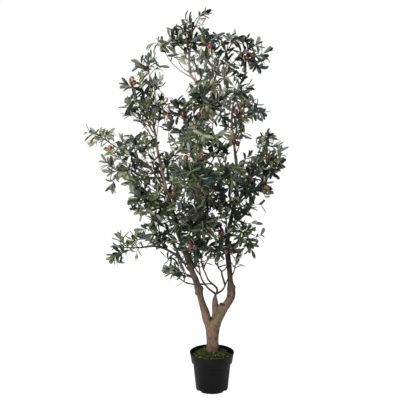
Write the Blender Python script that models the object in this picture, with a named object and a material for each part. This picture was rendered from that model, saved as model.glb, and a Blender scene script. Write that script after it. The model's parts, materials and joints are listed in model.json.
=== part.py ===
"""Artificial olive tree, 1.8 m tall, in a black nursery pot with a moss top.

Units are metres, +Z is up, and the origin is the middle of the pot's flat underside.
The tree is built as the real one is put together:

* a thin-walled plastic pot, a cement plug cast inside it, and a ring of moss on the plug;
* a trunk that stands on the plug and forks, with limbs and boughs set on it;
* masses of foliage. Each is one stem that branches into twigs, with leaves and olives fused on.

Neighbouring pieces keep a gap of SEAT, so each one stays a solid of its own.
"""

import math
from collections import namedtuple

import bmesh
import bpy
import numpy as np
from mathutils import Matrix
from mathutils.bvhtree import BVHTree

# ---------------------------------------------------------------- driving dimensions
SEAT = 0.0003  # clear gap between pieces that rest on each other

# the pot
POT_RIM_RADIUS = 0.1065
POT_HEIGHT = 0.183
POT_FOOT_RADIUS = 0.0771
POT_WALL = 0.0020
POT_EDGE = 0.0010  # the rounding of its rim, and half that of its foot
COLLAR_HEIGHT = 0.050
COLLAR_STEP = 0.0070  # how far the collar stands proud of the wall below it
COLLAR_FOOT_RADIUS = 0.0975
FLOOR_THICKNESS = 0.0030
POT_SIDES = 26
NOTCH_HEIGHT = 0.0070
NOTCH_WIDTH = 0.0260
NOTCH_DEPTH = 0.0180  # along the radius, half of it outside the wall
NOTCH_ANGLES = (-40.0, 40.0, 140.0, 220.0)  # degrees from +X, one each side of front and back

# the plug and the moss
PLUG_TOP = 0.140
PLUG_CLEARANCE = 0.0006  # from the pot's wall
MOSS_EDGE_HEIGHT = 0.158
MOSS_CROWN_HEIGHT = 0.189
MOSS_CLEARANCE = 0.0012  # from the pot's wall
MOSS_SIDES = 20
MOSS_BANDS = 5
MOSS_FOOT = 0.965  # share of the way out to its edge at which its underside ends
MOSS_SLOPE = 1.3  # the power of its fall from crown to edge
MOSS_LUMP = 0.0035
MOSS_PERIODS = (5, 3)  # waves round the trunk that make its lumps
MOSS_DRIFTS = (7.0, -9.0)  # and how far each wave turns, in radians, from the trunk to the edge

# leaves and olives
LEAF_LENGTH = 0.094
LEAF_WIDTH = 0.030
LEAF_THICKNESS = 0.0030
LEAF_WIDEST = 0.56  # share of the length at which a leaf is widest
OLIVE_LENGTH = 0.028
OLIVE_RADIUS = 0.0115
OLIVE_HOLD = 0.3  # its twig ends this share of its length above its middle

# how a mass of foliage grows
STEM_RADIUS = 0.0040
STEM_TAPER = 0.6  # its radius at the tip, as a share of that at the root
STEM_SAG = 0.05  # how far a stem sags, as a share of its length
STEM_OVERRUN = 0.12  # how far it runs past the middle of its space, as a share of the space
STEM_STEPS = 3
STEM_BARE = 0.35  # share of its length before its first twig
STEM_PLACES = 12  # places along the rest where a twig may leave it
START_SPACING = 0.007  # least distance between two such places that are used
TWIG_RADIUS = 0.0021
TWIG_TAPER = 0.75
TWIG_REACHES = (0.62, 0.46, 0.30)  # shares of the space's half-width at which a twig may end, tried in turn
SPRAY_LENGTH = 0.030  # the stretch of a twig's end that carries leaves
SPRAY_SHARE = 0.8  # the most of a twig's last piece that it takes
OPENING_BACK = 78.0  # degrees between a twig and the hindmost leaf of its spray
OPENING_TIP = 26.0  # and the foremost
LEAF_ROOT_DEPTH = 0.0025  # how far inside a twig's end its last leaf is rooted
LEAF_ROWS = 3  # leaves leave a twig in this many rows, one in the middle of each of its sides
ROW_WANDER = 0.20  # how far, in radians, a leaf may stray from its row
LEAF_SPREAD = (0.92, 1.06)  # a leaf's length lies between these shares of LEAF_LENGTH
LEAF_LENGTHS = (1.0, 0.88, 0.76)  # shares of that length that a leaf tries
LEAF_ROOM = 0.4  # the radius, as a share of the leaf's width, that it keeps clear of limbs
LEAF_FREE_FROM = 0.12  # share of its length past which a leaf crosses no other leaf or twig
LEAF_OVERREACH = 1.10  # how far a leaf's corners may reach, as a share of the space's half-width
OLIVE_OVERREACH = 1.30  # and an olive's
SPACE_MARGIN = 0.0010  # each mass keeps this far inside the planes between masses
LIMB_CLEARANCE = 0.0012  # and this far off limbs and other masses' stems
GOLDEN_ANGLE = math.pi * (3.0 - math.sqrt(5.0))

# the trunk and the limbs
TRUNK_FOOT = (0.003, 0.005)
TRUNK_FOOT_RADIUS = 0.0293
TRUNK_SIDES = 14
FORK_SIDES = 10
THICK_SIDES = 8  # a limb with more sides than this has its rings THICK_SPACING apart
THICK_SPACING = 0.036
THIN_SPACING = 0.052  # between the rings of any other limb
END_RUN = 0.008  # how far a limb runs straight on from the tip that it continues
ELBOW_START = 0.5  # a side limb runs this many of its radii straight out of its parent's side,
ELBOW_OUT = 1.7  # then turns upwards until it is this many radii out
ELBOW_UP = 0.9  # and this many up

# Each centreline is a few points of (x, y, z, radius), smoothed by a curve through them.
TRUNK_LINE = (
    (*TRUNK_FOOT, PLUG_TOP + SEAT, TRUNK_FOOT_RADIUS), (*TRUNK_FOOT, 0.195, TRUNK_FOOT_RADIUS),
    (0.003, 0.004, 0.265, 0.0312), (0.003, 0.003, 0.310, 0.0330), (0.003, 0.002, 0.334, 0.0270),
    (0.003, 0.002, 0.344, 0.0150))
FORK = {  # the trunk's three short arms, fused with it
    "left_arm": (
        (-0.002, 0.003, 0.280, 0.0230), (-0.019, 0.000, 0.332, 0.0222), (-0.035, -0.004, 0.386, 0.0185)),
    "right_arm": (
        (0.006, 0.003, 0.280, 0.0240), (0.026, 0.000, 0.342, 0.0240), (0.058, 0.002, 0.399, 0.0196)),
    "middle_arm": (
        (0.010, 0.006, 0.330, 0.0160), (0.017, 0.011, 0.372, 0.0168), (0.0155, 0.0135, 0.405, 0.0155)),
}

# on: what the limb stands on. height: where it leaves its side, or None to run on from its tip.
Limb = namedtuple("Limb", "name on height sides points")

LIMBS = (
    Limb("left_limb", "left_arm", None, 10, (
        (-0.051, -0.010, 0.442, 0.0150), (-0.063, -0.016, 0.492, 0.0168), (-0.078, -0.020, 0.542, 0.0150),
        (-0.097, -0.024, 0.591, 0.0136), (-0.111, -0.026, 0.639, 0.0138), (-0.128, -0.028, 0.688, 0.0138),
        (-0.159, -0.030, 0.783, 0.0121), (-0.191, -0.020, 0.885, 0.0106), (-0.217, -0.010, 0.967, 0.0097))),
    Limb("right_limb", "right_arm", None, 10, (
        (0.083, 0.008, 0.436, 0.0192), (0.092, 0.012, 0.465, 0.0205), (0.091, 0.014, 0.494, 0.0185),
        (0.087, 0.016, 0.527, 0.0130), (0.082, 0.018, 0.580, 0.0128), (0.077, 0.020, 0.629, 0.0128),
        (0.073, 0.020, 0.677, 0.0118), (0.075, 0.020, 0.749, 0.0104), (0.093, 0.020, 0.845, 0.0094),
        (0.111, 0.015, 0.940, 0.0084))),
    Limb("centre_stub", "middle_arm", None, 10, (
        (0.015, 0.014, 0.425, 0.0135), (0.014, 0.014, 0.443, 0.0100), (0.016, 0.014, 0.458, 0.0065),
        (0.017, 0.014, 0.472, 0.0048))),
    Limb("middle_limb", "left_limb", 0.604, 8, (
        (-0.070, -0.003, 0.665, 0.0099), (-0.062, 0.010, 0.727, 0.0089), (-0.062, 0.020, 0.845, 0.0084),
        (-0.067, 0.020, 0.949, 0.0079), (-0.059, 0.020, 1.057, 0.0074), (-0.048, 0.010, 1.197, 0.0069),
        (-0.039, 0.000, 1.312, 0.0064), (-0.037, -0.008, 1.385, 0.0062))),
    Limb("left_leader", "left_limb", None, 8, (
        (-0.237, 0.000, 1.082, 0.0074), (-0.253, 0.000, 1.152, 0.0064), (-0.266, 0.000, 1.244, 0.0050),
        (-0.272, 0.000, 1.298, 0.0041))),
    Limb("top_leader", "middle_limb", None, 8, (
        (-0.066, -0.010, 1.450, 0.0058), (-0.098, -0.010, 1.492, 0.0054), (-0.105, -0.010, 1.532, 0.0052),
        (-0.105, -0.005, 1.585, 0.0045), (-0.095, 0.000, 1.640, 0.0036), (-0.091, 0.000, 1.685, 0.0030))),
    Limb("right_leader", "right_limb", None, 8, (
        (0.113, 0.004, 1.059, 0.0069), (0.100, 0.000, 1.175, 0.0055), (0.088, 0.000, 1.289, 0.0046),
        (0.094, 0.000, 1.360, 0.0038))),
    Limb("crown_bough", "middle_limb", 1.300, 8, (
        (0.000, 0.005, 1.400, 0.0052), (0.012, 0.010, 1.480, 0.0046), (0.045, 0.012, 1.560, 0.0040),
        (0.088, 0.015, 1.605, 0.0034))),
    Limb("far_left_bough", "left_leader", 1.005, 8, (
        (-0.290, 0.000, 1.068, 0.0051), (-0.343, 0.002, 1.112, 0.0046), (-0.400, 0.002, 1.140, 0.0038))),
    Limb("left_low_bough", "left_limb", 0.860, 8, (
        (-0.225, -0.030, 0.885, 0.0052), (-0.262, -0.036, 0.898, 0.0044))),
    Limb("low_left_bough", "left_limb", 0.625, 8, (
        (-0.160, -0.030, 0.655, 0.0054), (-0.206, -0.030, 0.687, 0.0050), (-0.267, -0.030, 0.706, 0.0046),
        (-0.332, -0.030, 0.700, 0.0040))),
    Limb("right_far_bough", "right_limb", 0.915, 8, (
        (0.155, 0.000, 0.990, 0.0056), (0.192, -0.006, 1.045, 0.0050))),
    Limb("right_low_bough", "right_limb", 0.660, 8, (
        (0.108, 0.010, 0.700, 0.0050), (0.128, 0.000, 0.735, 0.0044))),
    Limb("front_low_bough", "middle_limb", 0.735, 8, (
        (-0.072, -0.060, 0.775, 0.0052), (-0.080, -0.105, 0.806, 0.0044))),
    Limb("front_high_bough", "middle_limb", 0.930, 8, (
        (-0.072, -0.050, 0.985, 0.0054), (-0.080, -0.120, 1.030, 0.0048), (-0.086, -0.165, 1.060, 0.0042))),
    Limb("back_low_bough", "middle_limb", 0.760, 8, (
        (-0.060, 0.085, 0.790, 0.0052), (-0.055, 0.140, 0.800, 0.0044))),
    Limb("back_high_bough", "middle_limb", 0.980, 8, (
        (-0.070, 0.075, 1.060, 0.0056), (-0.090, 0.120, 1.130, 0.0050), (-0.105, 0.145, 1.185, 0.0042))),
)

# ---------------------------------------------------------------- the masses of foliage
# on, height: the limb that the stem leaves, as for a limb. centre and half: the space it keeps to.
# twigs: how many twigs leave its stem, and leaves: how many each of them and the stem's end carry.
# olives: the centres of its olives.
Mass = namedtuple("Mass", "name on height centre half twigs leaves olives")

MASSES = (
    Mass("top_spray", "top_leader", None, (-0.055, 0.000, 1.754), (0.084, 0.079, 0.059), 4, 4, ()),
    Mass("crown_left", "top_leader", 1.585, (-0.170, -0.030, 1.640), (0.120, 0.124, 0.074), 6, 4, ()),
    Mass("crown_mid", "top_leader", 1.620, (-0.010, -0.060, 1.650), (0.075, 0.113, 0.066), 4, 4,
         ((-0.018, -0.135, 1.616),)),
    Mass("crown_inner", "crown_bough", 1.440, (-0.030, 0.080, 1.550), (0.106, 0.146, 0.080), 4, 4, ()),
    Mass("crown_right", "crown_bough", 1.585, (0.100, 0.020, 1.655), (0.080, 0.113, 0.057), 4, 4, ()),
    Mass("right_top_tip", "crown_bough", None, (0.200, 0.000, 1.580), (0.091, 0.102, 0.097), 4, 4,
         ((0.158, -0.060, 1.555),)),
    Mass("left_high", "left_leader", None, (-0.290, -0.020, 1.540), (0.097, 0.102, 0.071), 4, 4, ()),
    Mass("left_shoulder", "left_leader", 1.285, (-0.330, 0.030, 1.450), (0.109, 0.124, 0.068), 4, 4,
         ((-0.360, -0.060, 1.474),)),
    Mass("left_middle", "left_leader", 1.235, (-0.320, -0.020, 1.340), (0.112, 0.135, 0.075), 6, 4, ()),
    Mass("inner_left", "middle_limb", 1.250, (-0.150, -0.060, 1.340), (0.091, 0.113, 0.075), 4, 4,
         ((-0.205, -0.100, 1.345), (-0.131, -0.140, 1.325))),
    Mass("centre_high", "middle_limb", 1.330, (-0.040, -0.123, 1.400), (0.100, 0.113, 0.080), 4, 4,
         ((-0.048, -0.150, 1.332),)),
    Mass("centre_high_back", "middle_limb", 1.350, (0.010, 0.168, 1.370), (0.120, 0.135, 0.103), 4, 4, ()),
    Mass("right_high", "right_leader", None, (0.120, 0.000, 1.440), (0.080, 0.113, 0.073), 4, 4, ()),
    Mass("right_spray", "right_leader", 1.300, (0.190, -0.030, 1.340), (0.091, 0.102, 0.064), 4, 4,
         ((0.115, -0.055, 1.342),)),
    Mass("centre_up_front", "middle_limb", 1.180, (-0.040, -0.190, 1.230), (0.128, 0.124, 0.080), 6, 4, ()),
    Mass("centre_up_back", "back_high_bough", None, (-0.120, 0.213, 1.240), (0.132, 0.135, 0.108), 5, 4, ()),
    Mass("right_inner", "right_leader", 1.190, (0.110, 0.060, 1.240), (0.080, 0.113, 0.085), 4, 4,
         ((0.099, -0.010, 1.190),)),
    Mass("right_far_high", "right_far_bough", 1.030, (0.260, 0.020, 1.200), (0.091, 0.102, 0.066), 4, 4, ()),
    Mass("right_far", "right_far_bough", None, (0.260, -0.020, 1.090), (0.109, 0.135, 0.078), 6, 4,
         ((0.247, -0.100, 1.129),)),
    Mass("right_far_low", "right_far_bough", 0.985, (0.200, -0.050, 0.985), (0.098, 0.124, 0.078), 4, 4,
         ((0.231, -0.140, 0.980),)),
    Mass("centre_right_front", "right_leader", 1.000, (0.070, -0.168, 1.050), (0.091, 0.124, 0.103),
         4, 4, ()),
    Mass("centre_right_back", "right_leader", 1.040, (0.130, 0.213, 1.050), (0.123, 0.135, 0.114), 4, 4, ()),
    Mass("centre_front", "front_high_bough", None, (-0.090, -0.258, 1.080), (0.107, 0.124, 0.103), 6, 4,
         ((-0.080, -0.290, 1.143),)),
    Mass("centre_back", "middle_limb", 0.900, (-0.110, 0.246, 0.990), (0.141, 0.135, 0.125), 6, 4, ()),
    Mass("right_low", "right_limb", 0.790, (0.160, 0.030, 0.870), (0.109, 0.146, 0.080), 4, 4, ()),
    Mass("right_bottom", "right_low_bough", None, (0.170, -0.020, 0.740), (0.091, 0.124, 0.098), 4, 4, ()),
    Mass("right_bottom_inner", "right_limb", 0.640, (0.040, -0.090, 0.740), (0.078, 0.113, 0.093), 4, 4,
         ((0.066, -0.150, 0.712),)),
    Mass("far_left_tip", "far_left_bough", None, (-0.520, 0.000, 1.220), (0.089, 0.079, 0.058), 4, 4, ()),
    Mass("left_upper_outer", "far_left_bough", 1.120, (-0.360, 0.000, 1.180), (0.111, 0.146, 0.093), 6, 4,
         ((-0.450, -0.050, 1.170),)),
    Mass("left_outer", "far_left_bough", 1.100, (-0.460, 0.020, 1.050), (0.078, 0.102, 0.108), 4, 4, ()),
    Mass("left_mid_inner", "left_leader", 1.050, (-0.310, 0.110, 1.030), (0.108, 0.135, 0.091), 4, 4, ()),
    Mass("left_low", "left_low_bough", None, (-0.275, -0.055, 0.910), (0.150, 0.146, 0.092), 6, 4, ()),
    Mass("left_low_inner", "left_limb", 0.720, (-0.250, -0.020, 0.775), (0.103, 0.135, 0.080), 5, 4, ()),
    Mass("low_left_arm", "low_left_bough", None, (-0.420, -0.020, 0.700), (0.105, 0.113, 0.108), 4, 4, ()),
    Mass("low_left_small", "left_limb", 0.560, (-0.190, 0.000, 0.580), (0.080, 0.090, 0.063), 4, 4, ()),
    Mass("centre_low_front", "front_low_bough", None, (-0.090, -0.190, 0.830), (0.100, 0.124, 0.112), 5, 4,
         ((-0.113, -0.240, 0.872), (-0.094, -0.240, 0.757))),
    Mass("centre_low_back", "back_low_bough", None, (-0.050, 0.224, 0.820), (0.146, 0.141, 0.114), 5, 4, ()),
    Mass("stub_twigs", "centre_stub", None, (-0.005, 0.000, 0.575), (0.079, 0.074, 0.092), 4, 1, ()),
)


# ---------------------------------------------------------------- small vector helpers
def unit(vector):
    """The vector at length 1."""
    vector = np.asarray(vector, float)
    return vector / max(float(np.linalg.norm(vector)), 1e-12)


def across(direction):
    """A unit vector at right angles to direction, level where it can be."""
    side = np.cross(direction, (0.0, 0.0, 1.0))
    if np.linalg.norm(side) < 1e-3:
        side = np.cross(direction, (1.0, 0.0, 0.0))
    return unit(side)


def turned(vector, axis, angle):
    """vector turned about a unit axis (Rodrigues' formula)."""
    cosine, sine = math.cos(angle), math.sin(angle)
    return vector * cosine + np.cross(axis, vector) * sine + axis * float(axis @ vector) * (1 - cosine)


def smooth_line(points, spacing):
    """A Catmull-Rom curve through the points, read off at about this spacing. A radius column follows."""
    points = np.asarray(points, float)
    ends = np.vstack([2 * points[0] - points[1], points, 2 * points[-1] - points[-2]])
    line = [points[0]]
    for before, start, stop, after in zip(ends, ends[1:], ends[2:], ends[3:]):
        count = max(1, round(float(np.linalg.norm((stop - start)[:3])) / spacing))
        for t in (np.arange(count) + 1) / count:
            line.append(0.5 * (2 * start + (stop - before) * t
                               + (2 * before - 5 * start + 4 * stop - after) * t * t
                               + (3 * start - 3 * stop + after - before) * t ** 3))
    return np.array(line)


def bent(start, middle, stop, steps):
    """A quadratic curve from start to stop that is drawn towards middle."""
    t = np.linspace(0, 1, steps + 1)[:, None]
    return (1 - t) ** 2 * start + 2 * t * (1 - t) * middle + t * t * stop


def line_point(line, share):
    """The point at a share of the way along a line's length."""
    steps = np.concatenate([[0], np.cumsum(np.linalg.norm(np.diff(line, axis=0), axis=1))])
    return np.array([np.interp(share * steps[-1], steps, column) for column in line.T])


def near_distance(start, stop, others):
    """Distance from the segment start-stop to each of the segments in others, shape (n, 2, 3)."""
    if not len(others):
        return np.array([])
    first, second = stop - start, others[:, 1] - others[:, 0]
    offset = start - others[:, 0]
    a, e = float(first @ first) + 1e-15, np.einsum("ij,ij->i", second, second) + 1e-15
    b, c, f = second @ first, offset @ first, np.einsum("ij,ij->i", second, offset)
    s = np.clip((b * f - c * e) / np.maximum(a * e - b * b, 1e-15), 0, 1)
    t = np.clip((b * s + f) / e, 0, 1)
    s = np.clip((b * t - c) / a, 0, 1)
    gap = offset + s[:, None] * first - t[:, None] * second
    return np.linalg.norm(gap, axis=1)


def sheet(corners):
    """A fan of flat triangles through the corners, to test for crossings."""
    fan = [(0, k, k + 1) for k in range(1, len(corners) - 1)]
    return BVHTree.FromPolygons([tuple(map(float, corner)) for corner in corners], fan)


# ---------------------------------------------------------------- mesh builders
def new_object(name, data, collection=None):
    """A new object for the data, linked to the scene or to the collection."""
    obj = bpy.data.objects.new(name, data)
    (collection or bpy.context.scene.collection).objects.link(obj)
    return obj


def mesh_of(name, vertices, faces):
    """A mesh from plain lists of points and faces."""
    mesh = bpy.data.meshes.new(name)
    mesh.from_pydata([tuple(map(float, v)) for v in vertices], [], faces)
    mesh.update()
    return mesh


def tube_mesh(name, line, radii, sides):
    """A closed tube along line. Its rings keep one roll by parallel transport."""
    line = np.asarray(line, float)
    tangents = np.gradient(line, axis=0)
    tangents[0], tangents[-1] = line[1] - line[0], line[-1] - line[-2]
    side = across(unit(tangents[0]))
    vertices = []
    angles = 2 * math.pi * np.arange(sides) / sides
    for point, tangent, radius in zip(line, tangents, radii):
        along = unit(tangent)
        side = unit(side - along * float(side @ along))
        up = np.cross(along, side)
        vertices += list(point + radius * (np.cos(angles)[:, None] * side + np.sin(angles)[:, None] * up))
    faces = []
    for ring in range(len(line) - 1):
        for k in range(sides):
            near, far = ring * sides + k, ring * sides + (k + 1) % sides
            faces.append((near, far, far + sides, near + sides))
    last = (len(line) - 1) * sides
    faces.append(tuple(range(sides - 1, -1, -1)))
    faces.append(tuple(range(last, last + sides)))
    return mesh_of(name, vertices, faces)


def turned_mesh(name, profile, sides):
    """A profile of (radius, height) points, foot first, spun about the vertical. Radius 0 makes a pole."""
    work = bmesh.new()
    points = [work.verts.new((radius, 0.0, height)) for radius, height in profile]
    edges = [work.edges.new(pair) for pair in zip(points, points[1:])]
    bmesh.ops.spin(work, geom=points + edges, axis=(0, 0, 1), cent=(0, 0, 0), steps=sides,
                   angle=2 * math.pi, use_merge=True)
    bmesh.ops.remove_doubles(work, verts=work.verts, dist=1e-6)
    bmesh.ops.recalc_face_normals(work, faces=work.faces)
    mesh = bpy.data.meshes.new(name)
    work.to_mesh(mesh)
    work.free()
    return mesh


def leaf_mesh():
    """A leaf one unit long, wide and deep: its midrib runs straight, with both edges raised above it."""
    points = ((0, 0, 0), (0, 0, 1), (0.5, 1, LEAF_WIDEST), (-0.5, 1, LEAF_WIDEST))
    faces = [(0, 3, 2), (1, 2, 3), (0, 1, 3), (0, 2, 1)]
    return mesh_of("leaf", points, faces)


def olive_mesh():
    """An upright egg, six-sided, with its own size."""
    work = bmesh.new()
    bmesh.ops.create_uvsphere(work, u_segments=6, v_segments=3, radius=1.0)
    bmesh.ops.scale(work, vec=(OLIVE_RADIUS, OLIVE_RADIUS, OLIVE_LENGTH / 2), verts=work.verts)
    mesh = bpy.data.meshes.new("olive")
    work.to_mesh(mesh)
    work.free()
    return mesh


def union(base, group):
    """base fused with everything in the collection, as one mesh."""
    fuse = base.modifiers.new("Fuse", "BOOLEAN")
    fuse.operation = "UNION"
    fuse.operand_type = "COLLECTION"
    fuse.collection = group
    fuse.solver = "MANIFOLD"
    applied(base, group)
    return keep_largest(base)


def applied(base, group):
    """base with its modifiers made real, and the collection that they used removed."""
    bpy.context.view_layer.update()
    evaluated = base.evaluated_get(bpy.context.evaluated_depsgraph_get())
    mesh = bpy.data.meshes.new_from_object(evaluated)
    base.modifiers.clear()
    base.data = mesh
    for helper in list(group.objects):
        bpy.data.objects.remove(helper)
    bpy.data.collections.remove(group)
    return base


def keep_largest(obj):
    """Drops every loose scrap and every closed hollow, so that the object's largest shell is left."""
    work = bmesh.new()
    work.from_mesh(obj.data)
    waiting, shells = set(work.verts), []
    while waiting:
        front = [waiting.pop()]
        shell = set(front)
        while front:
            near = {edge.other_vert(vertex) for vertex in front for edge in vertex.link_edges}
            front = list(near - shell)
            shell |= near
        waiting -= shell
        shells.append(shell)
    largest = max(shells, key=len)
    scraps = [vertex for shell in shells if shell is not largest for vertex in shell]
    bmesh.ops.delete(work, geom=scraps, context="VERTS")
    work.to_mesh(obj.data)
    work.free()
    return obj


def parts_collection(name):
    """A collection in the scene for the pieces that a Boolean takes."""
    group = bpy.data.collections.new(name)
    bpy.context.scene.collection.children.link(group)
    return group


def material(name, colour, roughness, metallic=0.0):
    """A plain Principled material."""
    made = bpy.data.materials.new(name)
    made.use_nodes = True
    shader = made.node_tree.nodes["Principled BSDF"]
    shader.inputs["Base Color"].default_value = (*colour, 1.0)
    shader.inputs["Roughness"].default_value = roughness
    shader.inputs["Metallic"].default_value = metallic
    return made


def finish(obj, finish_material, smooth_angle=None):
    """Gives obj its material and, with an angle in degrees, its smooth shading."""
    obj.data.materials.clear()
    obj.data.materials.append(finish_material)
    if smooth_angle is not None:
        obj.data.shade_smooth()
        obj.data.set_sharp_from_angle(angle=math.radians(smooth_angle))
    return obj


# ---------------------------------------------------------------- pot, plug and moss
def wall_radius(height):
    """The pot's outer radius at a height below the collar."""
    top = COLLAR_FOOT_RADIUS - COLLAR_STEP
    return POT_FOOT_RADIUS + (top - POT_FOOT_RADIUS) * height / (POT_HEIGHT - COLLAR_HEIGHT)


def collar_radius(height):
    """The collar's outer radius at a height."""
    share = (height - (POT_HEIGHT - COLLAR_HEIGHT)) / COLLAR_HEIGHT
    return COLLAR_FOOT_RADIUS + (POT_RIM_RADIUS - COLLAR_FOOT_RADIUS) * share


def build_pot(plastic):
    """The thin-walled pot, turned in one profile, with four drainage notches cut through its foot."""
    ledge = POT_HEIGHT - COLLAR_HEIGHT
    profile = [
        (0, 0), (POT_FOOT_RADIUS - 2 * POT_EDGE, 0), (POT_FOOT_RADIUS, 2 * POT_EDGE),
        (wall_radius(ledge), ledge), (COLLAR_FOOT_RADIUS, ledge),
        (POT_RIM_RADIUS, POT_HEIGHT - POT_EDGE), (POT_RIM_RADIUS - POT_EDGE, POT_HEIGHT),
        (POT_RIM_RADIUS - POT_WALL, POT_HEIGHT - POT_EDGE),
        (COLLAR_FOOT_RADIUS - POT_WALL, ledge + POT_WALL), (wall_radius(ledge) - POT_WALL, ledge + POT_WALL),
        (wall_radius(FLOOR_THICKNESS) - POT_WALL, FLOOR_THICKNESS), (0, FLOOR_THICKNESS),
    ]
    pot = new_object("pot", turned_mesh("pot", profile, POT_SIDES))
    group = parts_collection("notches")
    work = bmesh.new()
    bmesh.ops.create_cube(work, size=1.0)
    bmesh.ops.scale(work, vec=(NOTCH_DEPTH, NOTCH_WIDTH, 2 * NOTCH_HEIGHT), verts=work.verts)
    block = bpy.data.meshes.new("notch")
    work.to_mesh(block)
    work.free()
    for number, angle in enumerate(NOTCH_ANGLES):
        notch = new_object(f"notch_{number}", block, group)
        notch.rotation_euler.z = math.radians(angle)
        notch.location = (POT_FOOT_RADIUS * math.cos(math.radians(angle)),
                          POT_FOOT_RADIUS * math.sin(math.radians(angle)), 0)
    cut = pot.modifiers.new("Notches", "BOOLEAN")
    cut.operation = "DIFFERENCE"
    cut.operand_type = "COLLECTION"
    cut.collection = group
    return finish(applied(pot, group), plastic, 30)


def build_plug(cement):
    """The cement plug, cast to the inside of the pot below its collar."""
    inset = POT_WALL + PLUG_CLEARANCE
    foot = FLOOR_THICKNESS + SEAT
    ledge = POT_HEIGHT - COLLAR_HEIGHT
    profile = [(0, foot), (wall_radius(foot) - inset, foot),
               (wall_radius(ledge) - inset, ledge), (wall_radius(ledge) - inset, PLUG_TOP), (0, PLUG_TOP)]
    return finish(new_object("plug", turned_mesh("plug", profile, POT_SIDES)), cement, 30)


def moss_height(share, angle):
    """The moss's top at a share of the way out from the trunk: a mound with a few lumps."""
    mound = MOSS_EDGE_HEIGHT + (MOSS_CROWN_HEIGHT - MOSS_EDGE_HEIGHT) * (1 - share) ** MOSS_SLOPE
    lumps = MOSS_LUMP * math.sin(math.pi * share)
    for period, drift in zip(MOSS_PERIODS, MOSS_DRIFTS):
        lumps *= math.sin(period * angle + drift * share + 1.0)
    return mound + lumps


def build_moss(moss_material):
    """A ring of moss round the trunk's foot, domed towards it, resting on the plug."""
    inner = (TRUNK_FOOT_RADIUS + SEAT) / math.cos(math.pi / MOSS_SIDES)
    foot = PLUG_TOP + SEAT
    vertices = []
    for k in range(MOSS_SIDES):
        angle = 2 * math.pi * k / MOSS_SIDES
        turn = np.array([math.cos(angle), math.sin(angle)])
        shares = np.arange(MOSS_BANDS + 1) / MOSS_BANDS
        top = [(share, moss_height(share, angle)) for share in shares]
        for share, height in [(0.0, foot), *top, (MOSS_FOOT, foot)]:
            edge = turn * (collar_radius(height) - POT_WALL - MOSS_CLEARANCE)
            hole = np.array(TRUNK_FOOT) + turn * inner
            vertices.append((*(hole + (edge - hole) * share), height))
    section = MOSS_BANDS + 3
    faces = []
    for k in range(MOSS_SIDES):
        here, there = k * section, (k + 1) % MOSS_SIDES * section
        for band in range(section):
            after = (band + 1) % section
            faces.append((here + band, here + after, there + after, there + band))
    return finish(new_object("moss", mesh_of("moss", vertices, faces)), moss_material, 60)


# ---------------------------------------------------------------- trunk, limbs and boughs
def on_limb(line, height):
    """The centreline point, direction and radius of a limb where it reaches a height."""
    index = int(np.argmax(line[:, 2] >= height))
    index = min(max(index, 1), len(line) - 1)
    low, high = line[index - 1], line[index]
    share = (height - low[2]) / max(high[2] - low[2], 1e-9)
    here = low + (high - low) * min(max(share, 0.0), 1.0)
    return here[:3], unit((high - low)[:3]), here[3]


def seat_on(lines, on, height, towards, radius):
    """The first points of a limb or stem: straight out of its parent's side, or on from its parent's tip."""
    line = lines[on]
    if height is None:
        along = unit((line[-1] - line[-2])[:3])
        start = line[-1][:3] + along * SEAT
        return [(*start, radius), (*(start + along * END_RUN), radius)]
    centre, along, parent_radius = on_limb(line, height)
    out = np.asarray(towards, float) - centre
    out = unit(out - along * float(out @ along))
    start = centre + out * (parent_radius + SEAT)
    elbow = centre + out * (parent_radius + ELBOW_OUT * radius) + along * ELBOW_UP * radius
    return [(*start, radius), (*(start + out * radius * ELBOW_START), radius), (*elbow, radius)]


def limb_lines():
    """The centreline of the trunk, its arms and each limb, with the radius as a fourth column."""
    lines = {"trunk": smooth_line(TRUNK_LINE, THICK_SPACING)}
    for name, points in FORK.items():
        lines[name] = smooth_line(points, THICK_SPACING)
    for limb in LIMBS:
        radius = lines[limb.on][-1][3] if limb.height is None else limb.points[0][3]
        begin = seat_on(lines, limb.on, limb.height, limb.points[0][:3], radius)
        spacing = THICK_SPACING if limb.sides > THICK_SIDES else THIN_SPACING
        lines[limb.name] = np.vstack([begin[0], smooth_line(begin[1:] + list(limb.points), spacing)])
    return lines


def build_trunk(lines, bark):
    """The trunk from its flat cut on the plug to the fork, fused with the fork's three short arms."""
    line = lines["trunk"]
    trunk = new_object("trunk", tube_mesh("trunk", line[:, :3], line[:, 3], TRUNK_SIDES))
    group = parts_collection("fork")
    for name in FORK:
        line = lines[name]
        new_object(name, tube_mesh(name, line[:, :3], line[:, 3], FORK_SIDES), group)
    return finish(union(trunk, group), bark, 40)


def build_limb(limb, line, bark):
    """One tapering limb, as a bevelled curve with capped ends and a radius at each point."""
    curve = bpy.data.curves.new(limb.name, "CURVE")
    curve.dimensions = "3D"
    curve.bevel_depth = 1.0
    curve.bevel_resolution = (limb.sides - 4) // 2
    curve.use_fill_caps = True
    spline = curve.splines.new("POLY")
    spline.points.add(len(line) - 1)
    for point, (x, y, z, radius) in zip(spline.points, line):
        point.co = (x, y, z, 1.0)
        point.radius = radius
    curve.materials.append(bark)
    return new_object(limb.name, curve)


# ---------------------------------------------------------------- masses of foliage
def spread(count, number, turn):
    """The number-th of count directions spread evenly over a ball by the golden angle."""
    height = 1 - (2 * number + 1) / count
    level = math.sqrt(1 - height * height)
    angle = number * GOLDEN_ANGLE + turn
    return np.array([level * math.cos(angle), level * math.sin(angle), height])


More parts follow.
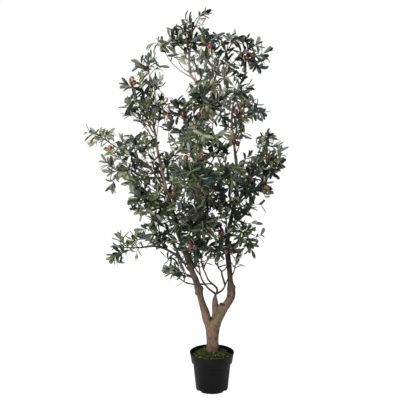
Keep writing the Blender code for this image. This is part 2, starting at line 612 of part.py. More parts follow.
class Spaces:
    """The room that each mass keeps to: its ellipsoid, cut by the plane between it and each neighbour.

    The plane is where the squared distances to both centres, less the squared radii, are equal,
    so every space is convex, and a flat or straight piece with its corners inside stays inside.
    """

    def __init__(self, masses):
        self.centres = np.array([mass.centre for mass in masses])
        self.halves = np.array([mass.half for mass in masses])
        self.weights = self.halves.prod(axis=1) ** (2 / 3)

    def holds(self, index, points, reach=1.0):
        """True if the mass's space, stretched by reach, holds every point."""
        points = np.atleast_2d(points)
        centre = self.centres[index]
        if (np.linalg.norm((points - centre) / self.halves[index], axis=1) > reach).any():
            return False
        power = ((points[:, None] - self.centres) ** 2).sum(axis=2) - self.weights
        apart = np.linalg.norm(self.centres - centre, axis=1)
        inside = power[:, [index]] - power + 2 * SPACE_MARGIN * apart
        inside[:, index] = -1.0
        return bool((inside < 0).all())


class Obstacles:
    """Straight pieces of limbs and stems, each with its radius and the mass that owns it, if any."""

    def __init__(self):
        self.segments, self.radii, self.owners = [], [], []

    def add(self, line, radii, owner=-1):
        """Adds a line's pieces."""
        for start, stop, radius in zip(line, line[1:], radii):
            self.segments.append((start[:3], stop[:3]))
            self.radii.append(radius)
            self.owners.append(owner)

    def clear(self, start, stop, radius, owner):
        """True if a straight piece of this radius keeps clear of every limb and of other masses' stems."""
        gaps = near_distance(start, stop, np.array(self.segments)) - np.array(self.radii)
        others = np.array(self.owners) != owner
        return bool((gaps[others] > radius + LIMB_CLEARANCE).all())


def stem_line(mass, lines):
    """A mass's stem, from the seat on its limb to just past the middle of its space."""
    centre = np.array(mass.centre)
    seat = seat_on(lines, mass.on, mass.height, centre, STEM_RADIUS)
    elbow = np.array(seat[-1][:3])
    stop = centre + unit(centre - elbow) * STEM_OVERRUN * min(mass.half)
    middle = (elbow + stop) / 2 - np.array([0, 0, STEM_SAG]) * np.linalg.norm(stop - elbow)
    start = [np.array(point[:3]) for point in seat[:-1]]
    return np.vstack([*start, bent(elbow, middle, stop, STEM_STEPS)])


class Grower:
    """Grows one mass: twigs leave the stem for evenly spread places, and leaves open round each end."""

    def __init__(self, index, mass, stem, spaces, obstacles, meshes):
        self.index, self.stem = index, stem
        self.spaces, self.obstacles, self.meshes = spaces, obstacles, meshes
        self.centre, self.half, self.mass = np.array(mass.centre), np.array(mass.half), mass
        self.random = np.random.default_rng(100 + index)
        radii = np.linspace(STEM_RADIUS, STEM_RADIUS * STEM_TAPER, len(stem))
        self.base = new_object(mass.name, tube_mesh(mass.name, stem, radii, 3))
        self.group = parts_collection(mass.name + "_parts")
        self.sheets, self.starts, self.leaves = [], [], 0
        for start, stop in zip(stem[2:], stem[3:]):
            self.sheets.append(sheet((start, stop, stop + (0, 0, STEM_RADIUS))))

    def add_tube(self, line, radii):
        """A three-sided twig among the parts."""
        new_object("twig", tube_mesh("twig", line, radii, 3), self.group)
        for start, stop in zip(line, line[1:]):
            self.sheets.append(sheet((start, stop, stop + (0, 0, TWIG_RADIUS))))

    def leave_stem(self, place):
        """Where a twig to place leaves the stem: a little back from the nearest point that is still free."""
        line = self.stem[2:]
        steps = np.linspace(STEM_BARE, 1.0, STEM_PLACES)
        points = np.array([line_point(line, step) for step in steps])
        for nearest in np.argsort(np.linalg.norm(points - place, axis=1)):
            start = points[max(int(nearest) - 1, 0)]
            if all(np.linalg.norm(start - taken) > START_SPACING for taken in self.starts):
                self.starts.append(start)
                return start
        return points[0]

    def twig(self, start, place):
        """A straight twig from the stem to a place, or None if it would leave the space or touch a limb."""
        line = np.array([start, place])
        if not self.spaces.holds(self.index, place):
            return None
        if not self.obstacles.clear(start, place, TWIG_RADIUS, self.index):
            return None
        self.add_tube(line, (TWIG_RADIUS, TWIG_RADIUS * TWIG_TAPER))
        return line

    def leaf(self, root, axis, opening, row):
        """One leaf from a twig's axis. It tries each length and row until it fits, or is skipped."""
        wander = self.random.uniform(-ROW_WANDER, ROW_WANDER)
        full = LEAF_LENGTH * self.random.uniform(*LEAF_SPREAD)
        for share in LEAF_LENGTHS:
            for turn in range(LEAF_ROWS):
                angle = 2 * math.pi * (row + turn + 0.5) / LEAF_ROWS + wander
                if self.placed(root, axis, opening, angle, full * share):
                    return

    def placed(self, root, axis, opening, angle, length):
        """Adds a leaf with this opening and angle round the twig if it fits, and says whether it did."""
        side = turned(across(axis), axis, angle)
        direction = unit(axis * math.cos(opening) + side * math.sin(opening))
        upper = unit(axis - direction * float(axis @ direction))
        sideways = np.cross(upper, direction)
        tip = root + direction * length
        middle = root + direction * length * LEAF_WIDEST
        edge = sideways * LEAF_WIDTH / 2
        if not self.spaces.holds(self.index, (tip, middle + edge, middle - edge), LEAF_OVERREACH):
            return False
        if not self.obstacles.clear(root, tip, LEAF_WIDTH * LEAF_ROOM, self.index):
            return False
        blade = sheet((root + direction * length * LEAF_FREE_FROM, middle + edge, tip, middle - edge))
        if any(blade.overlap(other) for other in self.sheets):
            return False
        axes = (sideways * LEAF_WIDTH, upper * LEAF_THICKNESS, direction * length)
        matrix = Matrix(np.column_stack([*axes, root]).tolist()).to_4x4()
        new_object("leaf", self.meshes["leaf"], self.group).matrix_world = matrix
        self.sheets.append(blade)
        self.leaves += 1
        return True

    def spray(self, line):
        """Leaves round the last part of a twig, from wide open at the back to nearly along it at the tip."""
        axis = unit(line[-1] - line[-2])
        length = min(SPRAY_LENGTH, SPRAY_SHARE * float(np.linalg.norm(line[-1] - line[-2])))
        first = int(self.random.integers(LEAF_ROWS))
        for number in range(self.mass.leaves):
            share = (number + 1) / self.mass.leaves
            root = line[-1] - axis * (length * (1 - share) + LEAF_ROOT_DEPTH)
            opening = OPENING_BACK + (OPENING_TIP - OPENING_BACK) * share
            self.leaf(root, axis, math.radians(opening), first + number)

    def olive(self, centre):
        """An olive on a twig of its own that runs into its top."""
        top = centre + (0, 0, OLIVE_HOLD * OLIVE_LENGTH)
        start = self.leave_stem(top)
        side = np.array([OLIVE_RADIUS, 0, 0])
        inside = self.spaces.holds(self.index, (centre + side, centre - side), OLIVE_OVERREACH)
        if not (inside and self.obstacles.clear(start, top, TWIG_RADIUS, self.index)
                and self.obstacles.clear(centre, top, OLIVE_RADIUS, self.index)):
            return
        self.add_tube(np.array([start, top]), (TWIG_RADIUS, TWIG_RADIUS))
        new_object("olive", self.meshes["olive"], self.group).location = centre

    def grow(self):
        """All of the mass's olives, twigs and leaves, fused with its stem."""
        for centre in self.mass.olives:
            self.olive(np.array(centre))
        turn = self.random.uniform(0, 2 * math.pi)
        lines = [self.stem]
        for number in range(self.mass.twigs):
            towards = self.half * spread(self.mass.twigs, number, turn)
            start = self.leave_stem(self.centre + towards)
            for reach in TWIG_REACHES:
                line = self.twig(start, self.centre + towards * reach)
                if line is not None:
                    lines.append(line)
                    break
        for line in lines:
            self.spray(line)
        return union(self.base, self.group)


def build_masses(lines, leaf_material):
    """Every mass of foliage, each as one solid. The stems come first, so that leaves keep off all of them."""
    spaces, obstacles = Spaces(MASSES), Obstacles()
    meshes = {"leaf": leaf_mesh(), "olive": olive_mesh()}
    for line in lines.values():
        obstacles.add(line, line[:, 3])
    stems = [stem_line(mass, lines) for mass in MASSES]
    for index, stem in enumerate(stems):
        if not all(obstacles.clear(a, b, STEM_RADIUS, index) for a, b in zip(stem[2:], stem[3:])):
            print(MASSES[index].name, "has a stem that touches a limb or another stem")
        obstacles.add(stem, [STEM_RADIUS] * len(stem), index)
    for index, (mass, stem) in enumerate(zip(MASSES, stems)):
        grower = Grower(index, mass, stem, spaces, obstacles, meshes)
        finish(grower.grow(), leaf_material)
        print(mass.name, grower.leaves, "leaves")


def main():
    """Clears the scene and builds every piece."""
    for obj in list(bpy.data.objects):
        bpy.data.objects.remove(obj)
    plastic = material("black_plastic", (0.012, 0.012, 0.013), 0.55)
    cement = material("cement", (0.30, 0.29, 0.27), 0.95)
    moss = material("moss", (0.075, 0.095, 0.012), 0.95)
    bark = material("bark", (0.19, 0.14, 0.10), 0.85)
    leaf = material("leaf", (0.030, 0.052, 0.038), 0.45)
    build_pot(plastic)
    build_plug(cement)
    build_moss(moss)
    lines = limb_lines()
    build_trunk(lines, bark)
    for limb in LIMBS:
        build_limb(limb, lines[limb.name], bark)
    build_masses(lines, leaf)


main()
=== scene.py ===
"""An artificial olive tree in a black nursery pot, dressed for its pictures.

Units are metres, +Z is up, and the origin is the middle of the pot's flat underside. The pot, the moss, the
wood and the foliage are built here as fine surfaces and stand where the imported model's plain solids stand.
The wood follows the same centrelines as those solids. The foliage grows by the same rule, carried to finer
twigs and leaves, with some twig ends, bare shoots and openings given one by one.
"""
from __future__ import annotations

import itertools
import json
import logging
import math
from dataclasses import dataclass, field
from enum import Enum

import bpy
import numpy as np
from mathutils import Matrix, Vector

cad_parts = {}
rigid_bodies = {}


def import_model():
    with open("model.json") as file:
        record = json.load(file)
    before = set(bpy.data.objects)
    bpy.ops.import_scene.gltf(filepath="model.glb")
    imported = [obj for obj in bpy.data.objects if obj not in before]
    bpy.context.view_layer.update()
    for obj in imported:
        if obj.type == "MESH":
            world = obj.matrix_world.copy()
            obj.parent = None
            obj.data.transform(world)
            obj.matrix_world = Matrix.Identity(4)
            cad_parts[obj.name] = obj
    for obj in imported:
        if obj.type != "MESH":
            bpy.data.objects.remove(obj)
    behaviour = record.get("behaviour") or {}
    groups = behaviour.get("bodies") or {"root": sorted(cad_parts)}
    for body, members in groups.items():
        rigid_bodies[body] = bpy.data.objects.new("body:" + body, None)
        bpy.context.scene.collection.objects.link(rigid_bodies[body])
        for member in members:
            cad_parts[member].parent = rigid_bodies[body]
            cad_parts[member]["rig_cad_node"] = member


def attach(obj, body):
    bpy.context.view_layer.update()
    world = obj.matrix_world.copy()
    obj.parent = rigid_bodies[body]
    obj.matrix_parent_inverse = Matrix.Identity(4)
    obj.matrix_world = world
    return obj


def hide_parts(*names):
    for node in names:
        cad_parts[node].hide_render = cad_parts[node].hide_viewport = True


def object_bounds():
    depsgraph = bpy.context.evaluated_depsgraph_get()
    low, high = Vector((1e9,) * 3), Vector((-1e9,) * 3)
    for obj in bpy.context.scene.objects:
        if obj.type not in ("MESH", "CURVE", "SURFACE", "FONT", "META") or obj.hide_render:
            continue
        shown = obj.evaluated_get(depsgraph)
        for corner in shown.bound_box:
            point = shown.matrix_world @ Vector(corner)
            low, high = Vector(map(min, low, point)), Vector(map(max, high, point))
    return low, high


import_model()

Array = np.ndarray
Span = tuple[float, float]
Colour = tuple[float, float, float]
Spot = tuple[float, float, float]
Ball = tuple[float, float, float, float]
Dice = np.random.Generator
Piece = bpy.types.Object
Material = bpy.types.Material
log = logging.getLogger("olive_tree")
CAD_BOX = [list(map(float, corner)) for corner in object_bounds()]
GOLDEN_ANGLE = math.pi * (3.0 - math.sqrt(5.0))


def tint(red: int, green: int, blue: int) -> Colour:
    """A colour on the usual 0 to 255 scale, as the linear values that a shader takes."""
    return tuple((value / 255) ** 2.2 for value in (red, green, blue))


# ---------------- vectors, curves and noise
def unit(vectors: Array) -> Array:
    """The vectors at length 1, along the last axis."""
    return vectors / np.maximum(np.linalg.norm(vectors, axis=-1, keepdims=True), 1e-12)


def across(directions: Array) -> Array:
    """Unit vectors at right angles to the directions: d x up, or d x (1, 0, 0) where d is upright.

    Args:
        directions: Unit vectors, shape (..., 3).

    Returns:
        Unit vectors of the same shape, level where they can be.
    """
    side = np.cross(directions, (0.0, 0.0, 1.0))
    weak = np.linalg.norm(side, axis=-1, keepdims=True) < 1e-3
    return unit(np.where(weak, np.cross(directions, (1.0, 0.0, 0.0)), side))


def turned(vectors: Array, axes: Array, angles: Array) -> Array:
    """The vectors turned about unit axes by angles: v cos a + (k x v) sin a + k (k.v)(1 - cos a).

    Args:
        vectors: Vectors, shape (..., 3).
        axes: Unit axes of the same shape.
        angles: Angles in radians, without the last axis.

    Returns:
        The turned vectors.
    """
    angles = np.asarray(angles, float)[..., None]
    along = (axes * vectors).sum(axis=-1, keepdims=True)
    swung = vectors * np.cos(angles) + np.cross(axes, vectors) * np.sin(angles)
    return swung + axes * along * (1 - np.cos(angles))


def smooth_line(points: Array, spacing: float) -> Array:
    """A Catmull-Rom curve through the points, read off at about this spacing.

    Args:
        points: Points in order, with any further columns, such as a radius, after x, y and z.
        spacing: The distance between the points of the result.

    Returns:
        The curve's points, shape (n, columns).
    """
    points = np.asarray(points, float)
    ends = np.vstack([2 * points[0] - points[1], points, 2 * points[-1] - points[-2]])
    line = [points[:1]]
    for before, start, stop, after in zip(ends, ends[1:], ends[2:], ends[3:]):
        count = max(1, round(float(np.linalg.norm((stop - start)[:3])) / spacing))
        t = ((np.arange(count) + 1) / count)[:, None]
        square = 2 * before - 5 * start + 4 * stop - after
        cube = 3 * start - 3 * stop + after - before
        line.append(0.5 * (2 * start + (stop - before) * t + square * t ** 2 + cube * t ** 3))
    return np.vstack(line)


def bent(start: Array, middle: Array, stop: Array, steps: int) -> Array:
    """A quadratic curve: (1-t)^2 start + 2t(1-t) middle + t^2 stop, at steps + 1 even values of t."""
    t = np.linspace(0, 1, steps + 1)[:, None]
    return (1 - t) ** 2 * start + 2 * t * (1 - t) * middle + t * t * stop


def lattice_noise(points: Array, size: float, seed: int) -> Array:
    """Smooth noise: random values at a lattice's corners, blended in each cell by 3t^2 - 2t^3.

    Args:
        points: Where the noise is read, shape (..., 3).
        size: The side of a lattice cell, in metres.
        seed: Which random values are used.

    Returns:
        Values between -1 and 1, shape (...).
    """
    values = np.random.default_rng(seed).uniform(-1, 1, 4096)
    cell = np.asarray(points, float) / size
    base = np.floor(cell).astype(np.int64)
    share = cell - base
    share = share * share * (3 - 2 * share)
    total = np.zeros(share.shape[:-1])
    for corner in itertools.product((0, 1), repeat=3):
        x, y, z = np.moveaxis(base + corner, -1, 0)
        weight = np.where(corner, share, 1 - share).prod(axis=-1)
        total += weight * values[(x * 73856093 ^ y * 19349663 ^ z * 83492791) % 4096]
    return total


def smooth_step(values: Array, low: float, high: float) -> Array:
    """0 below low, 1 above high, and 3t^2 - 2t^3 between."""
    t = np.clip((np.asarray(values, float) - low) / (high - low), 0, 1)
    return t * t * (3 - 2 * t)


def segment_distance(points: Array, starts: Array, stops: Array) -> Array:
    """Distances from points to straight segments, each taken to the segment's nearest point.

    Args:
        points: Points, shape (n, 3).
        starts: The segments' first ends, shape (m, 3).
        stops: Their other ends, of the same shape.

    Returns:
        Distances, shape (n, m).
    """
    along = stops - starts
    share = ((points[:, None] - starts) * along).sum(axis=2) / np.maximum((along ** 2).sum(axis=1), 1e-15)
    nearest = starts + np.clip(share, 0, 1)[..., None] * along
    return np.linalg.norm(points[:, None] - nearest, axis=2)


# ---------------- shader building
class Socket:
    """One output of a material's node, with the arithmetic of its value."""

    def __init__(self, graph: Graph, source: bpy.types.NodeSocket) -> None:
        """Keeps the graph and the output."""
        self.graph = graph
        self.source = source

    def _math(self, operation: str, first: object, second: object) -> Socket:
        """A Math node with this operation on two values or sockets."""
        return self.graph.add("ShaderNodeMath", {"operation": operation}, {0: first, 1: second})

    def __add__(self, other: object) -> Socket:
        """self + other."""
        return self._math("ADD", self, other)

    def __radd__(self, other: object) -> Socket:
        """other + self."""
        return self._math("ADD", other, self)

    def __sub__(self, other: object) -> Socket:
        """self - other."""
        return self._math("SUBTRACT", self, other)

    def __rsub__(self, other: object) -> Socket:
        """other - self."""
        return self._math("SUBTRACT", other, self)

    def __mul__(self, other: object) -> Socket:
        """self * other."""
        return self._math("MULTIPLY", self, other)

    def __rmul__(self, other: object) -> Socket:
        """other * self."""
        return self._math("MULTIPLY", other, self)

    def step(self, low: float, high: float) -> Socket:
        """0 below low, 1 above high, smooth between."""
        sockets = {"Value": self, "From Min": low, "From Max": high}
        return self.graph.add("ShaderNodeMapRange", {"interpolation_type": "SMOOTHSTEP"}, sockets)


class Graph:
    """The node tree of one new material, around its Principled shader."""

    def __init__(self, name: str) -> None:
        """Makes the material.

        Args:
            name: Its name.
        """
        self.material = bpy.data.materials.new(name)
        self.material.use_nodes = True
        self.tree = self.material.node_tree
        self.shader = self.tree.nodes["Principled BSDF"]

    def add(self, kind: str, settings: dict[str, object], sockets: dict[str | int, object],
            output: int | str = 0) -> Socket:
        """A new node.

        Args:
            kind: The node's type.
            settings: Its own settings, set first.
            sockets: Values or Sockets for its inputs.
            output: Which of its outputs is wanted.

        Returns:
            That output.
        """
        node = self.tree.nodes.new(kind)
        for key, value in settings.items():
            setattr(node, key, value)
        for key, value in sockets.items():
            self.feed(node.inputs[key], value)
        return Socket(self, node.outputs[output])

    def feed(self, target: bpy.types.NodeSocket, value: object) -> None:
        """Links a Socket to an input, or sets the input to a plain value.

        Args:
            target: The input.
            value: A Socket, a number, a vector or a colour.
        """
        if isinstance(value, Socket):
            self.tree.links.new(value.source, target)
        elif isinstance(value, tuple) and target.type == "RGBA":
            target.default_value = (*value, 1.0)
        else:
            target.default_value = value

    def noise(self, scale: float, detail: float = 3.0, stretch: Spot = (1, 1, 1),
              shift: float = 0.0) -> Socket:
        """A noise pattern of about 0.5 on the piece's own coordinates.

        Args:
            scale: About how many waves there are to the metre.
            detail: How many finer patterns are laid over it.
            stretch: A factor on the coordinates along each axis, under 1 for longer marks.
            shift: How far the coordinates are moved, to tell patterns apart.

        Returns:
            The pattern.
        """
        place = self.add("ShaderNodeTexCoord", {}, {}, "Object")
        sockets = {"Vector": place, "Scale": stretch, "Location": (shift, shift, shift)}
        moved = self.add("ShaderNodeMapping", {}, sockets)
        sockets = {"Vector": moved, "Scale": scale, "Detail": detail, "Roughness": 0.6}
        return self.add("ShaderNodeTexNoise", {}, sockets, "Fac")

    def height(self) -> Socket:
        """The z coordinate, in metres."""
        place = self.add("ShaderNodeTexCoord", {}, {}, "Object")
        return self.add("ShaderNodeSeparateXYZ", {}, {0: place}, "Z")

    def near(self, spot: Spot, reach: float) -> Socket:
        """A soft spot: 1 within about a third of its reach, falling to 0 at its reach.

        Args:
            spot: Its middle.
            reach: Its radius.

        Returns:
            The mask.
        """
        place = self.add("ShaderNodeTexCoord", {}, {}, "Object")
        far = self.add("ShaderNodeVectorMath", {"operation": "DISTANCE"}, {0: place, 1: spot}, "Value")
        return 1 - far.step(0.35 * reach, reach)

    def mix(self, share: object, first: object, second: object) -> Socket:
        """The first colour at share 0 and the second at share 1."""
        return self.add("ShaderNodeMix", {"data_type": "RGBA"}, {0: share, 6: first, 7: second}, 2)

    def bump(self, height: Socket, strength: float, distance: float) -> Socket:
        """A normal bumped by a height."""
        return self.add("ShaderNodeBump", {}, {"Height": height, "Strength": strength, "Distance": distance})

    def finish(self, **inputs: object) -> Material:
        """Feeds the Principled shader.

        Args:
            inputs: A value or Socket for each input, which is named with _ for a space.

        Returns:
            The material.
        """
        for key, value in inputs.items():
            self.feed(self.shader.inputs[key.replace("_", " ")], value)
        return self.material


# ---------------- finishes
@dataclass(frozen=True)
class PlasticFinish:
    """Thin black moulded plastic, a little dusty, with a fine grain."""

    colour: Colour = tint(11, 11, 12)
    dust: Colour = tint(24, 24, 25)

    def material(self) -> Material:
        """Near black, paler where dust clings, matt where it is scuffed.

        Returns:
            The material.
        """
        graph = Graph("black_plastic")
        cloud = graph.noise(11, 4).step(0.42, 0.72)
        grain = graph.noise(900, 2)
        scuff = graph.noise(70, 5, (1, 1, 0.25), 3).step(0.55, 0.75)
        colour = graph.mix(cloud * 0.35 + scuff * 0.2, self.colour, self.dust)
        roughness = 0.50 + cloud * 0.10 + scuff * 0.12
        return graph.finish(Base_Color=colour, Roughness=roughness, Specular_IOR_Level=0.12,
                            Normal=graph.bump(grain, 0.25, 0.0004))


@dataclass(frozen=True)
class CementFinish:
    """Rough cast cement, grey with pale grit."""

    colour: Colour = tint(140, 136, 128)
    grit: Colour = tint(178, 174, 166)

    def material(self) -> Material:
        """Grey with grit and pits.

        Returns:
            The material.
        """
        graph = Graph("cement")
        grit = graph.noise(260, 4)
        colour = graph.mix(grit.step(0.45, 0.7), self.colour, self.grit)
        return graph.finish(Base_Color=colour, Roughness=0.95, Normal=graph.bump(grit, 0.6, 0.001))


@dataclass(frozen=True)
class MossFinish:
    """Dried moss: olive tufts with bright tips, and dark gaps of painted shade."""

    name: str
    colour: Colour
    tip: Colour
    # The colour of the painted shade in the moss's gaps.
    gap: Colour = tint(13, 16, 6)

    def material(self) -> Material:
        """Patches of bright and dull green, with painted shade where the pattern is deep: in the gaps
        between clumps and where the bump's flecks sink.

        Returns:
            The material.
        """
        graph = Graph(self.name)
        patch = graph.noise(75, 3)
        clump = graph.noise(125, 3, shift=9)
        fleck = graph.noise(420, 3, shift=5)
        green = graph.mix(patch.step(0.44, 0.60), self.colour, self.tip)
        # Painted shade in the gaps between clumps.
        green = graph.mix(1 - clump.step(0.42, 0.56), green, self.gap)
        # Painted shade where the bump's flecks sink.
        colour = graph.mix((1 - fleck.step(0.30, 0.50)) * 0.85, green, self.gap)
        return graph.finish(Base_Color=colour, Roughness=0.95, Normal=graph.bump(fleck, 0.8, 0.002))


@dataclass(frozen=True)
class BarkFinish:
    """Moulded bark with long streaks, dull blotches and dark knots.

    Its colour turns from low to high between two heights. Worn ridges have that colour times wear. At the
    soil, up to the foot's second height, it is darker: painted shade, standing for the moss's contact
    shadow on the trunk.
    """

    name: str
    low: Colour
    high: Colour
    dark: Colour
    stain: Colour = tint(96, 88, 66)
    turn: Span = (0.8, 1.1)
    wear: float = 1.75
    # The heights between which the painted shade at the soil fades out.
    foot: Span = (0.150, 0.235)
    knots: tuple[Ball, ...] = ()

    def material(self) -> Material:
        """Plain bark, then stains, blotches, cracks, worn ridges, the foot's painted shade and the knots, in
        turn.

        Returns:
            The material.
        """
        graph = Graph(self.name)
        streak = graph.noise(190, 5, (1, 1, 0.26))
        blotch = graph.noise(34, 4, (1, 1, 0.5), 7)
        stain = graph.noise(17, 3, (1, 1, 0.7), 11)
        ridge = graph.noise(460, 4, (1, 1, 0.5), 2)
        rise = graph.height().step(*self.turn)
        plain = graph.mix(rise, self.low, self.high)
        bright = (tuple(value * self.wear for value in colour) for colour in (self.low, self.high))
        worn = graph.mix(rise, *bright)
        colour = graph.mix(stain.step(0.48, 0.66) * 0.45, plain, self.stain)
        colour = graph.mix(blotch.step(0.50, 0.66) * 0.50, colour, self.dark)
        colour = graph.mix((1 - blotch.step(0.34, 0.46)) * 0.5, colour, worn)
        colour = graph.mix((1 - streak.step(0.36, 0.50)) * 0.80, colour, self.dark)
        colour = graph.mix(ridge.step(0.52, 0.68) * 0.6, colour, worn)
        # Painted shade: darker towards the soil, standing for the moss's contact shadow on the trunk.
        colour = graph.mix((1 - graph.height().step(*self.foot)) * 0.72, colour, self.dark)
        # Dark knot stains; on the trunk, some of them are painted shade along the limbs' shaded right edges.
        for x, y, z, reach in self.knots:
            colour = graph.mix(graph.near((x, y, z), reach) * 0.85, colour, self.dark)
        relief = streak * 0.6 + ridge * 0.4
        roughness = 0.78 + ridge * 0.2
        return graph.finish(Base_Color=colour, Roughness=roughness, Specular_IOR_Level=0.25,
                            Normal=graph.bump(relief, 0.8, 0.0018))


class Tone(Enum):
    """The leaf colours of a spray: its top, its underside and its midrib."""

    DEEP = (tint(18, 24, 22), tint(90, 96, 82), tint(53, 59, 43))
    TEAL = (tint(33, 47, 46), tint(113, 121, 110), tint(81, 91, 79))
    GREEN = (tint(45, 53, 33), tint(122, 126, 97), tint(105, 111, 61))
    DULL = (tint(66, 72, 54), tint(142, 144, 119), tint(126, 130, 90))
    PALE = (tint(101, 106, 81), tint(158, 160, 134), tint(145, 149, 108))


@dataclass(frozen=True)
class LeafFinish:
    """Printed fabric leaf: a plain colour with a faint sheen."""

    tone: Tone
    sides: tuple[tuple[str, float], ...] = (("top", 0.42), ("underside", 0.62), ("midrib", 0.55))

    def materials(self) -> list[Material]:
        """One material for each side of the leaf, with that side's roughness.

        Returns:
            The materials of the top, the underside and the midrib.
        """
        made = []
        for (side, roughness), colour in zip(self.sides, self.tone.value):
            graph = Graph(f"leaf_{self.tone.name.lower()}_{side}")
            made.append(graph.finish(Base_Color=colour, Roughness=roughness, Specular_IOR_Level=0.2))
        return made


class Ripeness(Enum):
    """An olive's skin: the colour of its ground and of its blush."""

    BLUSH = (tint(178, 150, 134), tint(84, 32, 42))
    ROSE = (tint(134, 74, 70), tint(76, 26, 34))
    CRIMSON = (tint(84, 24, 30), tint(46, 13, 19))
    PLUM = (tint(70, 29, 42), tint(30, 12, 20))
    AMBER = (tint(108, 64, 40), tint(58, 24, 22))


@dataclass(frozen=True)
class SkinFinish:
    """An olive's skin: a blush that spreads in soft patches over a paler ground, with a dull bloom."""

    ripeness: Ripeness
    freckle: Colour = tint(226, 190, 170)

    def material(self) -> Material:
        """Ground and blush by a soft pattern, with fine freckles.

        Returns:
            The material.
        """
        ground, blush = self.ripeness.value
        graph = Graph(f"skin_{self.ripeness.name.lower()}")
        patch = graph.noise(62, 2).step(0.40, 0.54)
        freckle = graph.noise(700, 2, shift=3).step(0.60, 0.70)
        colour = graph.mix(freckle * 0.3, graph.mix(patch, ground, blush), self.freckle)
        return graph.finish(Base_Color=colour, Roughness=0.30 + patch * 0.08)


# ---------------- surfaces
@dataclass
class Surface:
    """Points and faces gathered for one piece."""

    points: list[Array] = field(default_factory=list)
    faces: list[Array] = field(default_factory=list)
    slots: list[Array] = field(default_factory=list)
    count: int = 0

    def add(self, points: Array, *groups: tuple[Array, int]) -> None:
        """Adds points, and faces on them.

        Args:
            points: Points, shape (..., 3).
            groups: Pairs of faces, shape (m, corners), that count these points from 0, and a material's
                number.
        """
        points = points.reshape(-1, 3)
        for faces, slot in groups:
            self.faces.append(faces + self.count)
            self.slots.append(np.full(len(faces), slot))
        self.points.append(points)
        self.count += len(points)

    def piece(self, name: str, materials: list[Material], sharp: float) -> Piece:
        """The gathered faces as a mesh object.

        Args:
            name: The object's name.
            materials: Its materials, by number.
            sharp: Edges that turn by more than this many degrees stay sharp.

        Returns:
            The object, at the origin.
        """
        mesh = bpy.data.meshes.new(name)
        corners = np.concatenate([faces.ravel() for faces in self.faces])
        sizes = np.concatenate([np.full(len(faces), faces.shape[1]) for faces in self.faces])
        mesh.vertices.add(self.count)
        mesh.vertices.foreach_set("co", np.concatenate(self.points).astype(np.float32).ravel())
        mesh.loops.add(len(corners))
        mesh.loops.foreach_set("vertex_index", corners.astype(np.int32))
        mesh.polygons.add(len(sizes))
        mesh.polygons.foreach_set("loop_start", (np.cumsum(sizes) - sizes).astype(np.int32))
        mesh.polygons.foreach_set("material_index", np.concatenate(self.slots).astype(np.int32))
        mesh.update(calc_edges=True)
        mesh.shade_smooth()
        mesh.set_sharp_from_angle(angle=math.radians(sharp))
        for material in materials:
            mesh.materials.append(material)
        return stand(name, mesh)


def stand(name: str, data: bpy.types.ID) -> Piece:
    """A new object in the scene.

    Args:
        name: Its name.
        data: Its mesh, light or camera.

    Returns:
        The object, at the origin.
    """
    made = bpy.data.objects.new(name, data)
    bpy.context.scene.collection.objects.link(made)
    return made


def place(piece: Piece, slot: str, nodes: list[str]) -> Piece:
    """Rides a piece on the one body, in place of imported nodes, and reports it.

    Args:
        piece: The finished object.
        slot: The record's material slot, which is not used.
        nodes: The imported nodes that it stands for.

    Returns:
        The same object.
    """
    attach(piece, "root")
    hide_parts(*nodes)
    log.info("%s: %d faces", piece.name, len(piece.data.polygons))
    return piece


def grid_faces(rows: int, columns: int) -> Array:
    """Quads of a grid closed round its columns: each joins a point, the next in its row, and both above.

    Args:
        rows: How many rows of points there are.
        columns: How many points a row has.

    Returns:
        Faces, shape ((rows - 1) * columns, 4).
    """
    row, column = np.meshgrid(np.arange(rows - 1), np.arange(columns), indexing="ij")
    near, far = row * columns + column, row * columns + (column + 1) % columns
    return np.stack([near, far, far + columns, near + columns], axis=-1).reshape(-1, 4)


def rings_round(lines: Array, count: int) -> Array:
    """Rings of unit vectors round lines: cos a side + sin a up, for even angles a.

    The side is carried from ring to ring with the least twist: what it has along the new tangent is taken
    off.

    Args:
        lines: Points, shape (n, rings, 3).
        count: Vectors in each ring.

    Returns:
        Vectors at right angles to the lines, shape (n, rings, count, 3).
    """
    tangents = unit(np.gradient(lines, axis=1))
    side = across(tangents[:, 0])
    sides = []
    for tangent in np.moveaxis(tangents, 1, 0):
        side = unit(side - tangent * (side * tangent).sum(axis=-1, keepdims=True))
        sides.append(side)
    sides = np.stack(sides, axis=1)
    ups = np.cross(tangents, sides)
    angles = 2 * math.pi * np.arange(count) / count
    return np.cos(angles)[:, None] * sides[:, :, None] + np.sin(angles)[:, None] * ups[:, :, None]


def add_tubes(surface: Surface, lines: Array, radii: Array, sides: int, slot: int = 0) -> None:
    """Closed tubes along lines: point + radius (cos a side + sin a up), for even angles a.

    Args:
        surface: What they are added to.
        lines: Centrelines, shape (n, rings, 3).
        radii: Radii, shape (n, rings) or (n, rings, sides).
        sides: Points round each ring.
        slot: The material's number.
    """
    if radii.ndim == 2:
        radii = radii[..., None]
    points = lines[:, :, None] + radii[..., None] * rings_round(lines, sides)
    count, rings = lines.shape[:2]
    starts = (np.arange(count) * rings * sides)[:, None, None]
    ends = starts[:, 0] + np.arange(sides)
    walls = (grid_faces(rings, sides) + starts).reshape(-1, 4)
    surface.add(points, (walls, slot), (ends[:, ::-1], slot), (ends + (rings - 1) * sides, slot))


